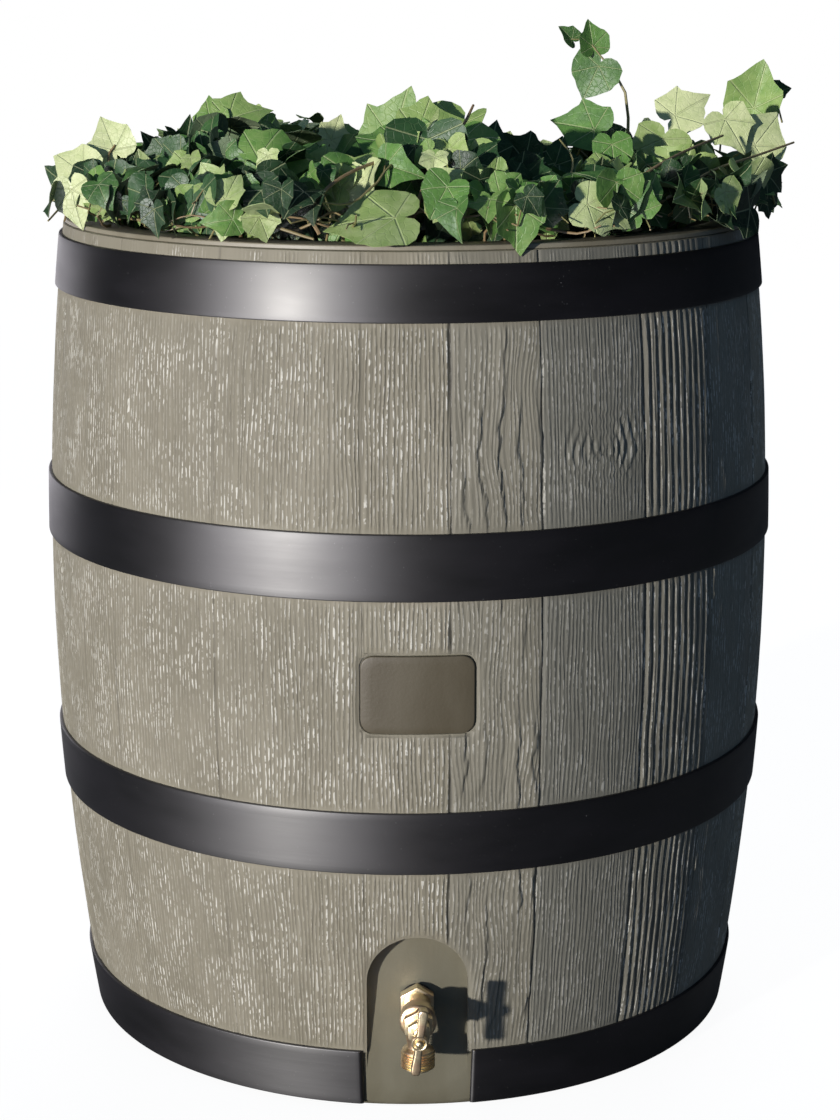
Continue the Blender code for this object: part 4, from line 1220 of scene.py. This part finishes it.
# Leaves that stand out: in millimetres, where the stalk joins (x, y, z) and the size; in degrees,
# the tip's turn from straight up as seen from the front, and how far the face turns to the side
# and upwards; in hundredths, tint, lobes, fold and droop
HERO_LEAVES = [
    (-268, -60, 730, 46, -55, -20, 20, 97, 35, 10, 15),
    (-243, -50, 748, 42, -25, -10, 15, 96, 40, 15, 10),
    (-282, -30, 716, 48, -75, -35, -10, 12, 80, 20, 20),
    (-270, -128, 722, 44, 165, -20, 5, 95, 30, 20, 15),
    (-214, -120, 726, 36, -5, 30, 10, 86, 60, 45, 10),
    (-165, 0, 762, 42, -20, -15, 15, 62, 30, 10, 25),
    (-152, 0, 770, 50, 62, -10, 35, 66, 70, 20, 30),
    (-208, 0, 736, 40, -38, 25, 5, 10, 95, 30, 10),
    (-190, 0, 742, 44, 12, 10, -5, 12, 100, 35, 10),
    (-120, -165, 748, 60, 78, -10, 35, 56, 45, 5, 55),
    (-66, 45, 750, 32, 20, 5, 0, 98, 60, 15, 5),
    (-73, -155, 735, 44, 62, -15, 30, 74, 40, 10, 30),
    (-16, -276, 712, 70, -80, -10, 62, 76, 12, 3, 10),
    (-14, -60, 756, 62, 14, -20, 10, 60, 75, 15, 10),
    (6, -70, 762, 55, 70, -5, 25, 70, 60, 10, 20),
    (-120, -200, 735, 52, 165, 10, -12, 6, 50, 5, 20),
    (-140, -262, 712, 26, 190, -15, 15, 82, 40, 20, 20),
    (-116, -266, 712, 26, 160, 5, 20, 84, 40, 20, 20),
    (62, -100, 744, 42, 10, -10, 15, 20, 35, 5, 15),
    (92, -100, 742, 42, -40, -10, 10, 14, 55, 15, 15),
    (116, -100, 738, 34, 20, 10, 5, 26, 60, 15, 15),
    (152, -55, 764, 52, -68, -15, 30, 46, 55, 25, 15),
    (160, -120, 756, 38, 175, 0, 20, 50, 15, 5, 30),
    (228, 15, 772, 48, 55, -10, 25, 97, 55, 12, 20),
    (206, -80, 758, 44, 195, 5, 10, 78, 35, 8, 20),
    (262, -45, 772, 42, 150, 0, 20, 92, 45, 10, 25),
    (288, -40, 750, 46, 40, 8, 10, 94, 25, 5, 10),
    (296, 20, 778, 56, 14, -22, 0, 66, 30, 40, 5),
    (314, 30, 792, 22, 75, 10, 25, 20, 30, 30, 10),
    (72, -288, 722, 50, 176, 22, 2, 55, 35, 45, 20),
    (62, -268, 728, 40, 95, -5, 25, 58, 60, 10, 35),
    (22, -262, 727, 44, 100, -5, 35, 84, 70, 12, 25),
    (150, -250, 736, 40, 178, 25, 5, 55, 20, 35, 20),
    (128, -258, 720, 46, 118, 0, 35, 88, 35, 10, 50),
    (296, -50, 728, 42, 120, 35, 0, 10, 100, 20, 20),
    (300, -30, 708, 34, 110, 40, -5, 8, 100, 20, 20),
    (-196, -240, 716, 30, 180, -35, 0, 10, 60, 30, 20),
    (-30, 20, 722, 55, 12, 0, 5, 10, 40, 15, 10),
    (-58, 50, 724, 52, -25, 12, 0, 14, 50, 20, 15),
]
# Stems that show: radius at the start and the end, tint from green to bark, and points along it
STEMS = [
    (2.6, 1.0, 1.0, [(-4, -225, 700), (6, -215, 726), (22, -180, 750), (40, -140, 772),
                     (49, -120, 787)]),
    (1.7, 1.3, 0.9, [(-72, -262, 699), (-78, -262, 714), (-66, -256, 732), (-48, -240, 743),
                     (-26, -215, 750)]),
    (1.5, 1.0, 0.6, [(-120, -255, 722), (-112, -258, 708), (-90, -266, 700), (-76, -270, 696)]),
    (1.5, 0.9, 0.7, [(165, -215, 704), (205, -175, 722), (240, -130, 736), (285, -70, 744),
                     (322, -30, 752)]),
    (1.6, 1.0, 0.9, [(150, -215, 722), (190, -170, 742), (222, -120, 752), (256, -70, 760)]),
    (1.3, 0.8, 0.5, [(-195, -195, 700), (-235, -130, 702), (-268, -70, 708), (-290, -30, 700),
                     (-300, -50, 690)]),
    (1.4, 0.8, 0.8, [(-225, -120, 702), (-242, -80, 720), (-248, -55, 742), (-243, -50, 752)]),
    (1.4, 0.9, 0.9, [(-128, -170, 712), (-150, -140, 735), (-160, -80, 752), (-158, -20, 764)]),
    (1.2, 0.6, 0.3, [(105, -215, 704), (118, -190, 728), (126, -150, 746), (118, -120, 760)]),
    (1.0, 0.5, 0.2, [(120, -220, 704), (136, -200, 724), (146, -170, 740), (166, -130, 748)]),
    (1.2, 0.7, 0.6, [(-30, -250, 700), (10, -250, 716), (50, -245, 720), (85, -235, 716)]),
]
# The tall sprig: radius and points of its stem, and its leaves, each with its stalk's start added
SPRIG_STEM = [(1.4, 186, 0, 745), (1.3, 186, 0, 771), (1.2, 183, 0, 792), (1.0, 174, 0, 808),
              (0.8, 161, 0, 823), (0.6, 152, 0, 834)]
SPRIG_LEAVES = [
    (160, -1, 814, 40, 205, -12, 8, 40, 5, 10, 10, 174, 0, 808),
    (155, 0, 830, 30, -8, 20, 5, 50, 30, 35, 5, 158, 0, 826),
    (137, 0, 836, 21, -50, 30, 10, 38, 30, 50, 10, 152, 0, 834),
]


def curve_through(stops, steps=5):
    """Points of a smooth curve through the stops."""
    padded = np.vstack([2 * stops[0] - stops[1], stops, 2 * stops[-1] - stops[-2]])
    line = []
    for a, b, c, d in zip(padded, padded[1:], padded[2:], padded[3:]):
        for t in np.arange(steps) / steps:
            line.append(0.5 * (2 * b + (c - a) * t + (2 * a - 5 * b + 4 * c - d) * t ** 2
                               + (3 * b - a - 3 * c + d) * t ** 3))
    return np.array([*line, stops[-1]])


def hero_leaf(rng, spec):
    """Where a leaf of the table joins its stalk, its points and its values."""
    base = np.array(spec[:3]) / 1000
    turn, aside, upward = np.radians(spec[4:7])
    tint, lobes, fold, droop = np.array(spec[7:11]) / 100
    level = math.cos(upward)
    face = (math.sin(aside) * level, -math.cos(aside) * level, math.sin(upward))
    tip = np.array((math.sin(turn), 0.0, math.cos(turn)))
    return base, *place_leaf(rng, base, tip, face, spec[3] / 1000, tint, lobes, fold, droop, 0.05)


def make_ivy():
    rng = np.random.default_rng(11)
    sides = ("front_left", "front_right", "right", "back", "left", "centre", "sprig")
    plants = {"ivy_" + side: Batch() for side in sides}
    for spec in HERO_LEAVES:
        base, points, values = hero_leaf(rng, spec)
        root = base + (0.018 * rng.standard_normal(), 0.03, -0.028)
        plant = plants[plant_of(base[0], base[1])]
        plant.leaf(points, values)
        line = [root, (root + base) / 2 + (0, 0.006, 0.004), base]
        plant.tube(line, (0.0009, 0.0008, 0.0006), 5, rng.uniform(0.0, 0.8))
    for _ in range(175):
        angle = rng.uniform(0, 2 * math.pi)
        away = 0.27 * math.sqrt(rng.uniform(0.01, 1))
        start = (away * math.cos(angle), away * math.sin(angle), SOIL_HIGH.z)
        heading, length = angle + rng.normal(0, 1.1), rng.uniform(0.08, 0.26)
        grow_vine(rng, start, heading, length, rng.uniform(0.05, 1.0) ** 0.6, plants)
    for thick, thin, tint, stops in STEMS:
        stops = np.array(stops) / 1000
        middle = stops[len(stops) // 2]
        line = curve_through(stops)
        radius = np.linspace(thick, thin, len(line)) / 1000
        plants[plant_of(middle[0], middle[1])].tube(line, radius, 7, tint)
    sprig = plants["ivy_sprig"]
    stem = np.array(SPRIG_STEM) / 1000
    sprig.tube(stem[:, 1:], stem[:, 0], 6, 0.4)
    for spec in SPRIG_LEAVES:
        base, points, values = hero_leaf(rng, spec)
        start = np.array(spec[11:]) / 1000
        sprig.leaf(points, values)
        line = [start, (start + base) / 2 + (0, 0, 0.001), base]
        sprig.tube(line, (0.0006, 0.0006, 0.0005), 5, 0.3)
    for name, plant in plants.items():
        mesh = smooth(plant.mesh(), 50)
        new_piece(name + "_leaves", mesh, "planter", "ivy", LEAF, name)


# ---------------------------------------------------------------- stage, light and camera

def make_stage():
    bpy.ops.mesh.primitive_plane_add(size=12, location=(0, 0, -0.0005))
    floor = bpy.context.object
    floor.name = "floor"
    floor.data.materials.append(make_floor_material())


def add_light(name, kind, azimuth, elevation, energy, colour):
    """A light from an azimuth and an elevation, in degrees from the front and from level."""
    light = bpy.data.objects.new(name, bpy.data.lights.new(name, kind))
    bpy.context.scene.collection.objects.link(light)
    azimuth, elevation = math.radians(azimuth), math.radians(elevation)
    level = math.cos(elevation)
    towards = Vector((math.sin(azimuth) * level, -math.cos(azimuth) * level, math.sin(elevation)))
    light.rotation_euler = towards.to_track_quat("Z", "Y").to_euler()
    light.data.energy, light.data.color = energy, colour
    return light, towards


def add_soft_box(name, azimuth, energy):
    """A wide lamp that shows only in reflections."""
    box, towards = add_light(name, "AREA", azimuth, 0, energy, (0.98, 0.94, 1.0))
    box.data.shape = "RECTANGLE"
    box.data.size, box.data.size_y = 1.95, 0.84
    box.location = 2.2 * towards + Vector((0, 0, 0.44))
    box.visible_diffuse = False
    box.visible_camera = False


def make_light():
    key, _ = add_light("key", "SUN", -39.5, 5, 3.95, (1.0, 0.965, 0.90))
    key.data.angle = math.radians(2)
    fill, _ = add_light("back_fill", "SUN", 168, 28, 1.5, (1.0, 0.98, 0.95))
    fill.data.angle = math.radians(50)
    fill.visible_glossy = False
    add_soft_box("soft_box", -37, 56)
    add_soft_box("back_box", 212, 9)
    bpy.context.scene.view_settings.view_transform = "Standard"


def make_world():
    """White for the camera, nearly black in reflections, and a blue fill for the shade."""
    world = bpy.data.worlds.new("studio")
    world.use_nodes = True
    tree = world.node_tree
    seen = tree.nodes.new("ShaderNodeLightPath")
    glossy, camera = tree.nodes.new("ShaderNodeMix"), tree.nodes.new("ShaderNodeMix")
    for mix, output, colour in ((glossy, "Is Glossy Ray", rgb(0.006, 0.008, 0.012)),
                                (camera, "Is Camera Ray", grey(1))):
        mix.data_type = "RGBA"
        mix.inputs[7].default_value = colour
        tree.links.new(seen.outputs[output], mix.inputs[0])
    glossy.inputs[6].default_value = rgb(0.090, 0.152, 0.245)
    tree.links.new(glossy.outputs[2], camera.inputs[6])
    tree.links.new(camera.outputs[2], tree.nodes["Background"].inputs["Color"])
    bpy.context.scene.world = world


def make_camera():
    """The camera: 2.04 m from the axis, 0.87 m up, looking 13.3 degrees down."""
    camera = bpy.data.objects.new("camera", bpy.data.cameras.new("camera"))
    bpy.context.scene.collection.objects.link(camera)
    distance, height, azimuth = 2.044, 0.871, math.radians(-1.2)
    camera.location = (distance * math.sin(azimuth), -distance * math.cos(azimuth), height)
    pitch, aside = math.radians(13.31), math.radians(0.27)
    camera.rotation_euler = (math.pi / 2 - pitch, 0, azimuth - aside)
    camera.data.lens = 76.57
    camera.data.sensor_width = 36
    bpy.context.scene.camera = camera


make_camera()
make_light()
make_world()
make_stage()
make_core()
make_staves()
make_hoops()
make_bottom_hoop()
make_plate()
make_tap_body()
make_bonnet_and_nut()
make_handle()
dress_cad()
make_tray()
make_screen_frame()
make_overflow()
make_soil()
make_screen_mesh()
make_ivy()
